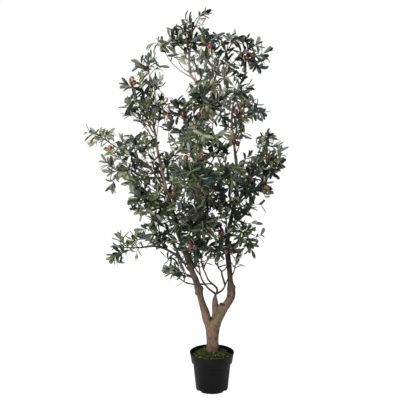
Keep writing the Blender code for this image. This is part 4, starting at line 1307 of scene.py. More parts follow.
# Smaller masses that fill the bare bands between those. They stand for no node of their own.
FILLS = tuple(Mass(*row) for row in (
    ("between_tops", "top_leader", 1.6, (-0.125, 0.03, 1.695), (0.06, 0.07, 0.055), 3, 0.04, 1.4, 0.5),
    ("between_crowns", "crown_bough", 1.5, (0.105, 0.04, 1.56), (0.085, 0.1, 0.05), 3, 0.15, 1.3, 0.52),
    # between_right and between_middle: pale shares raised to lift the shade inside the crown, painted light.
    ("between_right", "right_leader", 1.25, (0.14, 0.01, 1.34), (0.06, 0.08, 0.06), 3, 0.35, 1.0, 0.26),
    ("between_middle", "middle_limb", 1.06, (-0.11, -0.08, 1.18), (0.08, 0.09, 0.05), 3, 0.45, 0.9, 0.3),
    ("between_low", "right_limb", 0.76, (0.06, -0.05, 0.9), (0.08, 0.1, 0.07), 3),
    ("between_left", "left_limb", 0.8, (-0.18, -0.08, 0.86), (0.08, 0.09, 0.06), 3, 0.04, 1.7),
    ("between_limbs", "middle_limb", 0.66, (-0.085, -0.06, 0.705), (0.085, 0.07, 0.05),
     4, 0.05, 0.95, 0.46),
    ("between_arm", "low_left_bough", 0.69, (-0.275, -0.02, 0.722), (0.075, 0.06, 0.04), 3, 0.04, 0.9),
    ("between_leaders", "left_leader", 1.06, (-0.2, -0.03, 1.108), (0.055, 0.08, 0.05), 3, 0.04, 0.9),
    ("between_bands", "middle_limb", 1.02, (0.025, -0.02, 1.15), (0.07, 0.08, 0.042), 3, 0.1, 0.85),
    ("between_feet", "left_limb", 0.59, (-0.155, -0.01, 0.665), (0.06, 0.07, 0.045), 3, 0.05, 1.1),
    ("between_sides", "left_limb", 0.9, (-0.35, 0.0, 0.985), (0.07, 0.09, 0.05), 3, 0.6, 1.25, 0.26),
    ("between_shoulder", "left_leader", 1.27, (-0.26, -0.02, 1.435), (0.055, 0.07, 0.05),
     3, 0.25, 1.35, 0.22),
    ("between_stems", "left_limb", 0.92, (-0.165, -0.06, 0.98), (0.055, 0.08, 0.06), 3, 0.05, 1.05, 0.18),
    ("between_heads", "crown_bough", 1.44, (0.06, 0.02, 1.49), (0.1, 0.08, 0.034), 3, 0.15, 1.55, 0.48),
    ("between_fronts", "middle_limb", 0.86, (-0.02, -0.1, 0.96), (0.06, 0.07, 0.05), 3, 0.04, 1.0, 0.5),
))
# Twig ends that are listed one by one, where a mass needs a fan or reaches the outline.
ENDS: dict[str, tuple[Spot, ...]] = {
    "centre_up_front": ((-0.005, -0.15, 1.29),),
    "between_right": ((0.075, -0.03, 1.325),),
    "between_limbs": ((-0.165, -0.08, 0.745),),
    "centre_low_front": ((-0.12, -0.18, 0.94), (-0.13, -0.18, 0.95)),
    "between_low": ((0.03, -0.06, 0.825),),
    "right_inner": ((0.04, -0.03, 1.27),),
    "centre_high": ((0.0, -0.08, 1.3), (-0.075, -0.1, 1.415)),
    "centre_front": ((-0.125, -0.2, 0.995), (-0.055, -0.22, 1.055)),
    "centre_right_front": ((0.025, -0.15, 1.115), (-0.035, -0.18, 0.97), (0.025, -0.16, 0.985),
        (0.01, -0.14, 0.95), (-0.005, -0.19, 0.99), (-0.015, -0.15, 1.0), (0.035, -0.16, 1.075)),
    "crown_inner": ((-0.04, -0.06, 1.47), (-0.125, -0.03, 1.54), (-0.12, -0.03, 1.57),
        (-0.06, -0.05, 1.565), (-0.105, 0.0, 1.46), (-0.07, -0.05, 1.495), (-0.105, 0.02, 1.56)),
    "top_spray": ((-0.04, -0.01, 1.715), (-0.115, 0.01, 1.735)),
    "crown_left": ((-0.165, -0.02, 1.575), (-0.2, -0.02, 1.635), (-0.155, -0.04, 1.655),
        (-0.195, -0.03, 1.59), (-0.14, -0.06, 1.625)),
    "between_tops": ((-0.085, -0.04, 1.645), (-0.075, -0.02, 1.61), (-0.095, -0.03, 1.69),
        (-0.13, 0.0, 1.695)),
    "crown_mid": ((-0.035, -0.06, 1.67), (-0.035, -0.05, 1.665), (0.015, -0.03, 1.665),
        (-0.02, -0.08, 1.61)),
    "crown_right": ((0.05, -0.03, 1.59), (0.04, -0.04, 1.645), (0.07, -0.02, 1.67), (0.105, -0.05, 1.645),
        (0.14, 0.0, 1.645)),
    "right_top_tip": ((0.16, -0.02, 1.61), (0.195, 0.0, 1.625), (0.23, -0.01, 1.59), (0.195, -0.03, 1.54),
        (0.145, -0.06, 1.55)),
    "left_high": ((-0.31, -0.03, 1.52), (-0.27, 0.0, 1.56), (-0.235, 0.02, 1.535), (-0.325, 0.02, 1.54)),
    "left_shoulder": ((-0.38, -0.02, 1.445), (-0.24, -0.05, 1.435), (-0.315, -0.07, 1.47),
        (-0.305, -0.06, 1.415)),
    "left_mid_inner": ((-0.265, -0.03, 1.115), (-0.35, -0.05, 1.06), (-0.345, 0.0, 1.02),
        (-0.33, -0.02, 0.97)),
    "left_middle": ((-0.345, -0.06, 1.395), (-0.37, -0.03, 1.395), (-0.365, -0.03, 1.365),
        (-0.37, -0.02, 1.315), (-0.295, -0.1, 1.36), (-0.28, -0.06, 1.305)),
    "inner_left": ((-0.235, -0.04, 1.335), (-0.23, -0.05, 1.36), (-0.22, -0.06, 1.305),
        (-0.165, -0.08, 1.365), (-0.195, -0.03, 1.32), (-0.115, -0.1, 1.36)),
    "right_spray": ((0.215, -0.03, 1.325), (0.195, -0.02, 1.305), (0.16, -0.04, 1.365)),
    "right_high": ((0.13, -0.05, 1.41), (0.13, -0.02, 1.47), (0.155, 0.0, 1.435), (0.085, -0.06, 1.45)),
    "right_far_high": ((0.24, -0.02, 1.195), (0.285, 0.01, 1.17), (0.2, -0.03, 1.185)),
    "right_far": ((0.195, -0.12, 1.115), (0.29, -0.04, 1.095), (0.27, -0.06, 1.055), (0.245, -0.06, 1.14)),
    "right_far_low": ((0.245, -0.08, 1.025), (0.235, -0.06, 1.0), (0.165, -0.12, 0.98),
        (0.18, -0.06, 0.945)),
    "right_low": ((0.175, -0.02, 0.895), (0.145, -0.05, 0.86), (0.12, -0.09, 0.925)),
    "right_bottom": ((0.13, -0.04, 0.65), (0.11, -0.07, 0.8), (0.13, -0.04, 0.655), (0.13, -0.06, 0.695),
        (0.155, -0.06, 0.795), (0.17, -0.05, 0.725), (0.125, -0.1, 0.77)),
    "far_left_tip": ((-0.475, -0.03, 1.23), (-0.495, -0.01, 1.215), (-0.535, 0.01, 1.19),
        (-0.475, 0.02, 1.24)),
    "left_upper_outer": ((-0.39, -0.04, 1.115), (-0.41, -0.03, 1.19), (-0.36, -0.06, 1.22),
        (-0.315, -0.04, 1.2), (-0.435, 0.0, 1.145), (-0.28, -0.08, 1.17)),
    "left_outer": ((-0.49, 0.01, 1.095), (-0.46, 0.0, 1.14), (-0.47, 0.0, 1.085), (-0.46, -0.01, 0.995),
        (-0.42, -0.04, 1.12), (-0.4, -0.05, 1.055)),
    "left_low": ((-0.335, -0.06, 0.945), (-0.35, -0.08, 0.935), (-0.345, -0.05, 0.885),
        (-0.28, -0.15, 0.935)),
    "left_low_inner": ((-0.29, -0.05, 0.815), (-0.275, -0.07, 0.77), (-0.23, -0.13, 0.84)),
    "low_left_arm": ((-0.355, -0.04, 0.755), (-0.425, -0.03, 0.74), (-0.455, -0.02, 0.655),
        (-0.445, 0.01, 0.6)),
    "between_arm": ((-0.365, -0.03, 0.73), (-0.29, -0.04, 0.715), (-0.235, -0.05, 0.735)),
    "low_left_small": ((-0.215, -0.02, 0.65), (-0.16, -0.02, 0.625), (-0.145, -0.03, 0.565),
        (-0.195, -0.01, 0.58)),
}


@dataclass(frozen=True)
class Shoot:
    """A long bare shoot: its limb and the height it leaves at, a bend, its end, and its leaves' size.

    The last is the chance that its spray has the deepest tone.
    """

    on: str
    height: float
    by: Spot
    end: Spot
    size: float = 0.9
    deep: float = DEEP_SHARE


SHOOTS = tuple(Shoot(*row) for row in (
    ("left_limb", 0.95, (-0.275, -0.025, 1.06), (-0.333, -0.03, 1.152)),
    ("left_leader", 1.0, (-0.262, -0.03, 1.09), (-0.292, -0.03, 1.178)),
    ("left_limb", 0.935, (-0.3, -0.03, 1.005), (-0.392, -0.02, 1.056)),
    ("left_leader", 1.03, (-0.275, -0.04, 1.08), (-0.33, -0.04, 1.11)),
    ("left_leader", 1.18, (-0.29, -0.02, 1.24), (-0.345, -0.02, 1.3), 0.8),
    ("left_leader", 1.215, (-0.27, -0.03, 1.265), (-0.3, -0.03, 1.33), 0.8),
    ("top_leader", 1.48, (-0.205, -0.01, 1.53), (-0.226, -0.01, 1.632), 0.8),
    ("top_leader", 1.5, (-0.16, -0.015, 1.53), (-0.168, -0.02, 1.6), 0.6),
    ("middle_limb", 1.02, (-0.205, -0.03, 1.1), (-0.2, -0.03, 1.25), 0.8),
    ("left_leader", 0.985, (-0.265, -0.05, 1.055), (-0.29, -0.06, 1.15), 0.9),
    ("left_limb", 0.955, (-0.3, -0.06, 1.03), (-0.335, -0.07, 1.11), 0.9),
    ("left_limb", 0.93, (-0.33, -0.05, 0.99), (-0.39, -0.05, 1.085), 0.9),
    ("left_leader", 1.01, (-0.26, 0.03, 1.075), (-0.275, 0.03, 1.16), 0.8),
    ("left_limb", 0.9, (-0.285, -0.08, 0.95), (-0.345, -0.09, 1.015), 0.9),
    ("left_leader", 1.19, (-0.25, -0.03, 1.255), (-0.24, -0.04, 1.305), 0.8),
    ("left_leader", 1.13, (-0.29, 0.02, 1.25), (-0.33, 0.03, 1.29), 0.8),
    ("right_leader", 1.13, (0.135, -0.03, 1.19), (0.125, -0.03, 1.26), 0.7),
    ("crown_bough", 1.47, (-0.01, -0.04, 1.53), (0.0, -0.05, 1.62), 0.7),
    ("right_far_bough", 1.02, (0.2, -0.05, 1.12), (0.225, -0.05, 1.19), 0.8),
    ("top_leader", 1.665, (-0.095, -0.01, 1.74), (-0.045, -0.02, 1.76), 1.0, 1.0),
    ("top_leader", 1.65, (-0.085, -0.02, 1.725), (-0.13, -0.03, 1.735), 0.8, 0.9),
))


def spread(count: int, turn: float) -> Array:
    """Directions spread evenly over a ball: even steps of height, each turned on by the golden angle.

    Args:
        count: How many.
        turn: Radians by which the first is turned.

    Returns:
        Unit vectors, shape (count, 3).
    """
    number = np.arange(count)
    height = 1 - (2 * number + 1) / count
    level = np.sqrt(1 - height * height)
    angle = number * GOLDEN_ANGLE + turn
    return np.stack([level * np.cos(angle), level * np.sin(angle), height], axis=1)


@dataclass(frozen=True)
class Opening:
    """A gap through the crown as seen from EYE, as an ellipse on the plane y = 0.

    It has a middle, two half axes, and a turn in degrees from +X towards +Z.
    """

    x: float
    z: float
    long: float = 0.02
    short: float = 0.015
    turn: float = 0.0


# Where the main view looks from.
EYE = (-0.0572, -3.4, 1.4356)
OPENINGS = tuple(Opening(*row) for row in (
    (0.135, 1.68, 0.025, 0.02), (0.065, 1.69), (0.07, 0.94), (0.215, 0.91), (-0.38, 0.865),
    (-0.055, 1.375, 0.015, 0.015), (0.235, 1.595, 0.02, 0.02), (0.11, 1.26), (-0.17, 1.22), (0.035, 1.685),
    (-0.32, 0.99), (0.09, 1.05), (-0.28, 1.055, 0.015, 0.015), (0.11, 1.13, 0.015, 0.015), (0.205, 0.8),
    (0.145, 0.74), (0.22, 0.745), (-0.08, 1.79, 0.025, 0.02), (-0.12, 1.005), (0.015, 0.86),
    (-0.215, 1.65, 0.02, 0.02), (0.1, 1.25), (-0.12, 1.59), (0.19, 0.745), (0.095, 1.45), (-0.225, 0.82),
    (-0.305, 1.435, 0.02, 0.02), (-0.145, 1.28), (0.155, 1.33), (0.115, 1.1), (-0.35, 1.31), (-0.02, 1.41),
    (0.23, 1.605, 0.015, 0.015), (-0.3, 0.76, 0.025, 0.015), (-0.195, 1.605), (0.04, 1.25), (0.11, 1.255),
    (-0.21, 1.67), (-0.005, 0.72), (-0.335, 1.12), (-0.115, 1.01, 0.015, 0.015),
    (-0.15, 1.61, 0.03, 0.02, -20), (0.045, 1.455, 0.02, 0.015, 30), (-0.16, 1.445, 0.065, 0.06, -30),
    (-0.23, 1.57, 0.035, 0.025, -50), (0.12, 1.135, 0.06, 0.05, 60), (0.19, 1.245, 0.05, 0.03, 45),
    (-0.22, 1.21, 0.055, 0.02, -80), (-0.375, 1.255, 0.08, 0.04, 5), (-0.01, 1.71, 0.055, 0.025, -20),
    (-0.415, 0.96, 0.04, 0.025, -50), (-0.255, 0.65, 0.05, 0.025, -10), (-0.49, 1.04, 0.03, 0.015, 20),
    (0.105, 1.585, 0.03, 0.025, 90), (0.17, 1.485, 0.04, 0.02, 25), (-0.155, 1.265, 0.025, 0.02, 40),
    (-0.355, 1.5, 0.03, 0.015, 35), (0.175, 0.83, 0.045, 0.02, 10), (0.165, 0.65, 0.025, 0.015, 70),
    (-0.175, 1.56, 0.025, 0.015, -60), (-0.28, 1.135, 0.03, 0.015, -60), (-0.305, 0.825, 0.035, 0.015, -10),
    (-0.38, 1.415, 0.025, 0.015, 60), (0.23, 0.935, 0.03, 0.015, 40), (0.3, 1.005, 0.02, 0.015, 30),
    (0.005, 1.115, 0.02, 0.015, -90), (-0.28, 1.045, 0.03, 0.025, -40), (0.235, 1.37, 0.035, 0.025),
    (0.24, 0.675, 0.035, 0.03), (0.025, 1.71, 0.04, 0.02, -20), (0.275, 1.255, 0.03, 0.02),
    (0.115, 1.705, 0.045, 0.025, -15), (0.245, 1.64, 0.03, 0.02, -30), (-0.275, 1.67, 0.04, 0.02, -40),
    (-0.135, 1.77, 0.03, 0.02, 20), (-0.155, 1.735, 0.04, 0.02, -10), (-0.075, 1.72, 0.025, 0.02),
    (-0.55, 1.255, 0.025, 0.015), (0.08, 1.49, 0.025, 0.015, -20), (0.23, 0.835, 0.03, 0.025),
    (-0.38, 0.645, 0.035, 0.025, -30)))


@dataclass
class Leaf:
    """One leaf's shape: a blade folded a little at its midrib, widest past its middle, closed and thin."""

    rows: tuple[float, ...] = (0.0, 0.10, 0.28, 0.52, 0.76, 0.93)
    rise: float = 0.90
    fall: float = 0.54
    petiole: float = 0.09
    midrib: float = 0.10
    thickness: float = 0.0007

    def template(self) -> tuple[Array, list[tuple[Array, int]]]:
        """The leaf at unit length and unit half width.

        Its half width at t is t^rise (1-t)^fall over the peak of that, and no less than the petiole's. Each
        ring goes from the left edge under the leaf to the right edge and back over it, and one tip closes
        the rings.

        Returns:
            Points as across, lift and along, and the faces with their slots: 0 the top, 1 the underside and
            2 the midrib. The lift is how far across the point stands, or -1 under the midrib.
        """
        peak = self.rise / (self.rise + self.fall)
        most = peak ** self.rise * (1 - peak) ** self.fall
        t = np.array(self.rows)
        width = np.maximum(t ** self.rise * (1 - t) ** self.fall / most, self.petiole)
        rib = np.minimum(self.midrib, 0.6 * width)
        under = -np.ones_like(t)
        ring = ((-width, width), (-rib, under), (rib, under), (width, width), (rib, rib), (-rib, rib))
        rings = np.stack([np.stack([*point, t], axis=1) for point in ring], axis=1)
        points = np.vstack([rings.reshape(-1, 3), [[0, 0, 1]]])
        walls = grid_faces(len(t), 6).reshape(-1, 6, 4)
        groups = [(walls[:, column].reshape(-1, 4), slot) for column, slot in enumerate((1, 1, 1, 0, 2, 0))]
        corner = np.arange(6)
        last = (len(t) - 1) * 6
        tip = np.stack([last + corner, last + (corner + 1) % 6, np.full(6, len(points) - 1)], axis=1)
        groups += [(tip[[3, 5]], 0), (tip[:3], 1), (tip[[4]], 2), (corner[None, ::-1], 2)]
        return points, groups

    def add(self, surface: Surface, leaves: Array) -> None:
        """Places the template at each leaf.

        A point at t along a leaf of length L and bend k lies L sin(kt)/k along its direction and
        L (1 - cos kt)/k below it, and its section is turned by kt, so the leaf follows an arc.

        Args:
            surface: What the leaves are added to.
            leaves: One row each: root, direction, upper side, length, half width, fold, bend.
        """
        template, groups = self.template()
        root, direction, upper = leaves[:, None, 0:3], leaves[:, None, 3:6], leaves[:, None, 6:9]
        length, half, fold, bend = (leaves[:, None, column] for column in range(9, 13))
        sideways = np.cross(upper, direction)
        bend = np.where(np.abs(bend) < 1e-3, 1e-3, bend)
        angle = bend * template[:, 2]
        lift = np.where(template[:, 1] < 0, -self.thickness, template[:, 1] * half * fold)
        ahead = length * np.sin(angle) / bend + lift * np.sin(angle)
        above = lift * np.cos(angle) - length * (1 - np.cos(angle)) / bend
        points = (root + direction * ahead[..., None] + upper * above[..., None]
                  + sideways * (half * template[:, 0])[..., None])
        starts = (np.arange(len(leaves)) * len(template))[:, None, None]
        placed = [((faces + starts).reshape(-1, faces.shape[1]), slot) for faces, slot in groups]
        surface.add(points, *placed)


@dataclass
class Crown:
    """All of the foliage: a stem for each mass, twigs that branch from it, and leaves in sprays.

    Each of pairs is a pair of leaves: how far back from the twig's tip it stands, its degrees from the
    twig, and its share of the full length. The one at the tip has the last two only. The weights deal TEAL,
    GREEN and DULL to the sprays that are neither pale nor of the deepest tone. Ranges are the least and the
    most.
    """

    wood: Wood
    leaf: Leaf = field(default_factory=Leaf)
    leaf_length: float = 0.054
    leaf_half_width: float = 0.0080
    lengths: Span = (0.84, 1.10)
    half_widths: Span = (0.88, 1.12)
    folds: Span = (0.12, 0.42)
    bends: Span = (-0.25, 0.75)
    pairs: tuple[Spot, ...] = (
        (0.001, 24.0, 0.88), (0.005, 42.0, 1.0), (0.012, 56.0, 1.0), (0.022, 66.0, 0.94),
        (0.036, 70.0, 0.84))
    tip_leaf: Span = (9.0, 0.90)
    spacings: Span = (0.8, 1.35)
    skyward: float = 0.35
    left_out: float = 0.06
    mixed_in: float = 0.22
    weights: tuple[float, ...] = (0.44, 0.35, 0.21)
    spacing: float = 0.060
    tries: int = 400
    main_reach: float = 0.62
    fine_reach: float = 0.82
    nearness: float = 1.12
    margin: float = 0.009
    box_room: float = 0.004
    spray_room: float = 0.020
    limb_room: float = 0.012
    leaf_room: float = 0.004
    twig_room: float = 0.0025
    open_ends: float = 0.2
    open_places: float = 0.9
    open_leaves: Span = (0.45, 0.95)
    short: float = 0.028

    def __post_init__(self) -> None:
        """Starts empty lists of leaves and twigs, and reads the masses and openings as arrays."""
        self.leaves: dict[Tone, list[Array]] = {tone: [] for tone in Tone}
        self.stems, self.shoots = Surface(), Surface()
        self.tracks: dict[str, list[Array]] = {}
        self.box = np.array(CAD_BOX)
        self.centres = np.array([mass.centre for mass in (*MASSES, *FILLS)])
        self.halves = np.array([mass.half for mass in (*MASSES, *FILLS)])
        self.gaps = np.array([(gap.x, gap.z, gap.long, gap.short, gap.turn) for gap in OPENINGS])

    def stem(self, mass: Mass) -> Array:
        """A mass's stem, from its limb to just past the middle of its space.

        It starts as the limb's seat does and sags a little on its way.

        Args:
            mass: The mass.

        Returns:
            Points with a radius each, shape (n, 4).
        """
        centre = np.array(mass.centre)
        seat = self.wood.seat(mass.on, mass.height, centre, STEM_RADIUS)
        elbow = seat[-1][:3]
        stop = centre + unit(centre - elbow) * 0.12 * min(mass.half)
        middle = (elbow + stop) / 2 - np.array([0, 0, 0.05]) * np.linalg.norm(stop - elbow)
        run = bent(elbow, middle, stop, 12)
        run = np.column_stack([run, np.linspace(STEM_RADIUS, 0.0019, len(run))])
        return np.vstack([seat[:-1], run])

    def boxed(self, points: Array, room: float) -> Array:
        """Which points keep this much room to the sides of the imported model's box."""
        return ((points > self.box[0] + room) & (points < self.box[1] - room)).all(axis=-1)

    def held(self, points: Array) -> Array:
        """Which points (n, 3) lie in any mass's ellipsoid with its half axes widened by the margin."""
        away = (points[:, None] - self.centres) / (self.halves + self.margin)
        return (np.linalg.norm(away, axis=2) < 1).any(axis=1)

    def in_opening(self, points: Array, stretch: Array) -> Array:
        """Which points stand in an opening as seen from EYE.

        Each is carried along its line of sight to the plane y = 0, where an opening is the ellipse
        (a / long)^2 + (b / short)^2 < stretch^2 about its middle, on axes turned by its angle.

        Args:
            points: The points, shape (n, 3).
            stretch: A factor on the openings' half axes for each point.

        Returns:
            One truth value each.
        """
        eye = np.array(EYE)
        share = -eye[1] / (points[:, 1] - eye[1])
        seen = eye + (points - eye) * share[:, None]
        x, z = (seen[:, None, axis] - self.gaps[:, number] for number, axis in enumerate((0, 2)))
        turn = np.radians(self.gaps[:, 4])
        a, b = x * np.cos(turn) + z * np.sin(turn), z * np.cos(turn) - x * np.sin(turn)
        return ((a / self.gaps[:, 2]) ** 2 + (b / self.gaps[:, 3]) ** 2 < stretch[:, None] ** 2).any(axis=1)

    def places(self, index: int, mass: Mass, rng: Dice) -> Array:
        """Where a mass's twigs end: its ENDS, then its main twigs, then the fine ones.

        The main ones end at centre + half u for directions u spread by the golden angle, times their reach,
        and the fine ones at centre + half u r^(1/3) for random unit u and even r, times theirs. A fine one
        is dropped where another mass's middle is clearly nearer, in half axes, and any where it is too near
        a limb or the box's sides or stands in an opening. All but ENDS keep the spacing from those kept
        before.

        Args:
            index: The mass's number.
            mass: The mass.
            rng: Its own random numbers.

        Returns:
            Points, shape (n, 3).
        """
        turn = np.random.default_rng(100 + index).uniform(0, 2 * math.pi)
        main = spread(mass.twigs, turn) * self.main_reach
        fine = unit(rng.normal(size=(self.tries, 3)))
        fine = fine * rng.uniform(size=(self.tries, 1)) ** (1 / 3) * self.fine_reach
        ends = np.array(ENDS.get(mass.name, ())).reshape(-1, 3)
        points = np.vstack([ends, np.array(mass.centre) + np.array(mass.half) * np.vstack([main, fine])])
        number = np.arange(len(points))
        share = np.linalg.norm((points[:, None] - self.centres) / self.halves, axis=2)
        own = share[:, index] < share.min(axis=1) * self.nearness
        own |= number < len(ends) + mass.twigs
        stretch = np.where(number < len(ends), self.open_ends, self.open_places)
        clear = own & self.wood.clear(points, self.limb_room) & ~self.in_opening(points, stretch)
        clear &= self.boxed(points, self.spray_room)
        kept = np.empty((0, 3))
        for chosen in np.flatnonzero(clear):
            point = points[chosen]
            apart = np.linalg.norm(kept - point, axis=1).min(initial=1.0)
            if chosen < len(ends) or apart > self.spacing * mass.space:
                kept = np.vstack([kept, point])
        return kept

    def spray(self, line: Array, pale: float, deep: float, rng: Dice, size: float = 1.0,
              free: bool = False) -> None:
        """Opposite pairs of leaves along a twig's end, and one at its tip.

        Each pair is turned a right angle from the one before. The leaves stand wide of the twig at the back
        and close up towards the tip. Their upper sides face along the twig and partly to the sky. One that
        would leave the crown, stand in an opening or touch a limb is left out, and so are a few others at
        random.

        Args:
            line: The twig's points.
            pale: The chance that the spray is a pale one.
            deep: The chance that one that isn't pale has the deepest tone.
            rng: The mass's own random numbers.
            size: A factor on the leaves' length.
            free: Whether the spray may stand outside the masses.
        """
        back, opening, share = np.repeat(np.array(self.pairs), 2, axis=0).T
        back = np.append(back * rng.uniform(*self.spacings), 0.0)
        opening, share = np.append(opening, self.tip_leaf[0]), np.append(share, self.tip_leaf[1])
        steps = np.concatenate([[0], np.cumsum(np.linalg.norm(np.diff(line, axis=0), axis=1))])
        back = np.minimum(back, steps[-1] * 0.85)
        root, ahead, behind = (
            np.stack([np.interp(steps[-1] - back + shift, steps, column) for column in line.T], axis=1)
            for shift in (0.0, 0.004, -0.004))
        axis = unit(ahead - behind)
        count = len(back)
        pair, second = np.divmod(np.arange(count), 2)
        around = rng.uniform(0, math.pi) + math.pi / 2 * pair + math.pi * second
        around += rng.normal(0, 0.2, count)
        angle = np.radians(opening + rng.normal(0, 8, count))[:, None]
        side = turned(across(axis), axis, around)
        direction = unit(axis * np.cos(angle) + side * np.sin(angle))
        upper = axis - direction * (axis * direction).sum(axis=1, keepdims=True)
        sky = np.array([0, 0, 1]) - direction * direction[:, 2:]
        upper = unit(unit(upper) + self.skyward * sky + rng.normal(0, 0.12, (count, 3)))
        upper = unit(upper - direction * (upper * direction).sum(axis=1, keepdims=True))
        length = self.leaf_length * size * share * rng.uniform(*self.lengths, count)
        half = self.leaf_half_width * (0.4 + 0.6 * length / self.leaf_length)
        half = half * rng.uniform(*self.half_widths, count)
        points = root + direction * (length * np.array([[0.3], [0.6], [1.0]]))[..., None]
        tip = points[-1]
        keep = self.boxed(tip, self.box_room) & (free | self.held(tip))
        keep &= rng.uniform(size=count) > self.left_out
        for point in points:
            keep &= self.wood.clear(point, self.leaf_room)
        soft = rng.uniform(*self.open_leaves, count)
        for point in points[1:]:
            keep &= ~self.in_opening(point, soft)
        fold, bend = rng.uniform(*self.folds, count), rng.uniform(*self.bends, count)
        rows = np.column_stack([root, direction, upper, length, half, fold, bend])[keep]
        weights = np.array([deep, *((1 - deep) * weight for weight in self.weights)])
        main = Tone.PALE if rng.uniform() < pale else list(Tone)[rng.choice(4, p=weights)]
        other = list(Tone)[rng.choice(4, p=weights)]
        swap = rng.uniform(size=len(rows)) < self.mixed_in
        self.leaves[main].append(rows[~swap])
        self.leaves[other].append(rows[swap])

    def grow(self, index: int, mass: Mass) -> None:
        """Grows one mass from its stem.

        Every place is reached by a twig, the nearest to the stem's foot first. A twig leaves the stem or an
        earlier twig where length (1.7 - cosine of the turn) is least, so that it runs on rather than back. A
        short twig costs 0.06 more, and a start costs 4 times its radius less. Up to five starts are tried,
        until the twig clears the limbs. Stem and twigs end in a spray.

        Args:
            index: The mass's number.
            mass: The mass.
        """
        rng = np.random.default_rng([500, index])
        stem = self.stem(mass)
        add_tubes(self.stems, stem[None, :, :3], stem[None, :, 3], 7)
        self.tracks[mass.name] = [stem[3:, :3]]
        self.spray(stem[2:, :3], mass.pale, mass.deep, rng)
        nodes = np.column_stack([stem[2:], unit(np.gradient(stem[:, :3], axis=0))[2:]])
        places = self.places(index, mass, rng)
        for end in places[np.argsort(np.linalg.norm(places - stem[2, :3], axis=1))]:
            away = end - nodes[:, :3]
            length = np.linalg.norm(away, axis=1)
            turn = (away * nodes[:, 4:]).sum(axis=1) / np.maximum(length, 1e-6)
            cost = length * (1.7 - turn) + 0.06 * (length < self.short) - 4.0 * nodes[:, 3]
            for node in nodes[np.argsort(cost)[:5]]:
                line = self.twig(mass, node, end, rng)
                if line is not None:
                    nodes = np.vstack([nodes, line[1:-2]])
                    self.spray(line[:, :3], mass.pale, mass.deep, rng)
                    break

    def twig(self, mass: Mass, node: Array, end: Array, rng: Dice) -> Array | None:
        """A curved twig from a node of the wood to a place.

        It leaves along the mean of the node's direction and the place's, a little downwards, and turns up
        on its way. Twigs that start above 1.5 mm in radius go with the stems.

        Args:
            mass: Its mass.
            node: Where it starts: a point, a radius and a direction.
            end: Where it ends.
            rng: The mass's own random numbers.

        Returns:
            Its points with a radius and a direction each, or None where it would touch a limb.
        """
        length = float(np.linalg.norm(end - node[:3]))
        lead = unit(node[4:] * 0.9 + unit(end - node[:3]) + rng.normal(0, 0.15, 3) - (0, 0, 0.15))
        line = bent(node[:3], node[:3] + lead * length * 0.5, end, 7)
        if not self.wood.clear(line[2:], self.twig_room).all():
            return None
        radii = np.linspace(np.clip(node[3] * 0.78, 0.0011, 0.0024), 0.0010, len(line))
        surface = self.stems if radii[0] > 0.0015 else self.shoots
        add_tubes(surface, line[None], radii[None], 5)
        self.tracks[mass.name].append(line)
        return np.column_stack([line, radii, unit(np.gradient(line, axis=0))])

    def build(self) -> list[Piece]:
        """Grows every mass and shoot, and joins leaves by tone, and stems and fine twigs apart.

        Returns:
            The pieces.
        """
        names = [mass.name for mass in MASSES]
        for index, mass in enumerate((*MASSES, *FILLS)):
            self.grow(index, mass)
        rng = np.random.default_rng(71)
        for shoot in SHOOTS:
            line = bent(self.wood.at(shoot.on, shoot.height)[0], np.array(shoot.by), np.array(shoot.end), 14)
            add_tubes(self.stems, line[None], np.linspace(0.0028, 0.0012, len(line))[None], 6)
            self.spray(line, 0.1, shoot.deep, rng, shoot.size, True)
        pieces = []
        for tone, rows in self.leaves.items():
            surface = Surface()
            self.leaf.add(surface, np.concatenate(rows))
            name = f"leaves_{tone.name.lower()}"
            log.info("%s: %d leaves", name, sum(map(len, rows)))
            pieces.append(place(surface.piece(name, LeafFinish(tone).materials(), 55), "foliage", names))
        stem_bark = BarkFinish("stem_bark", tint(46, 38, 32), tint(134, 114, 98), tint(38, 31, 26),
                               tint(88, 78, 60), turn=(1.05, 1.50), wear=1.45)
        shoot_bark = BarkFinish("shoot_bark", tint(84, 82, 54), tint(132, 134, 92), tint(60, 58, 38),
                                tint(104, 108, 66), turn=(0.8, 1.3), wear=1.4)
        for name, surface, bark in (("stems", self.stems, stem_bark), ("shoots", self.shoots, shoot_bark)):
            pieces.append(place(surface.piece(name, [bark.material()], 180), "bark", names))
        return pieces


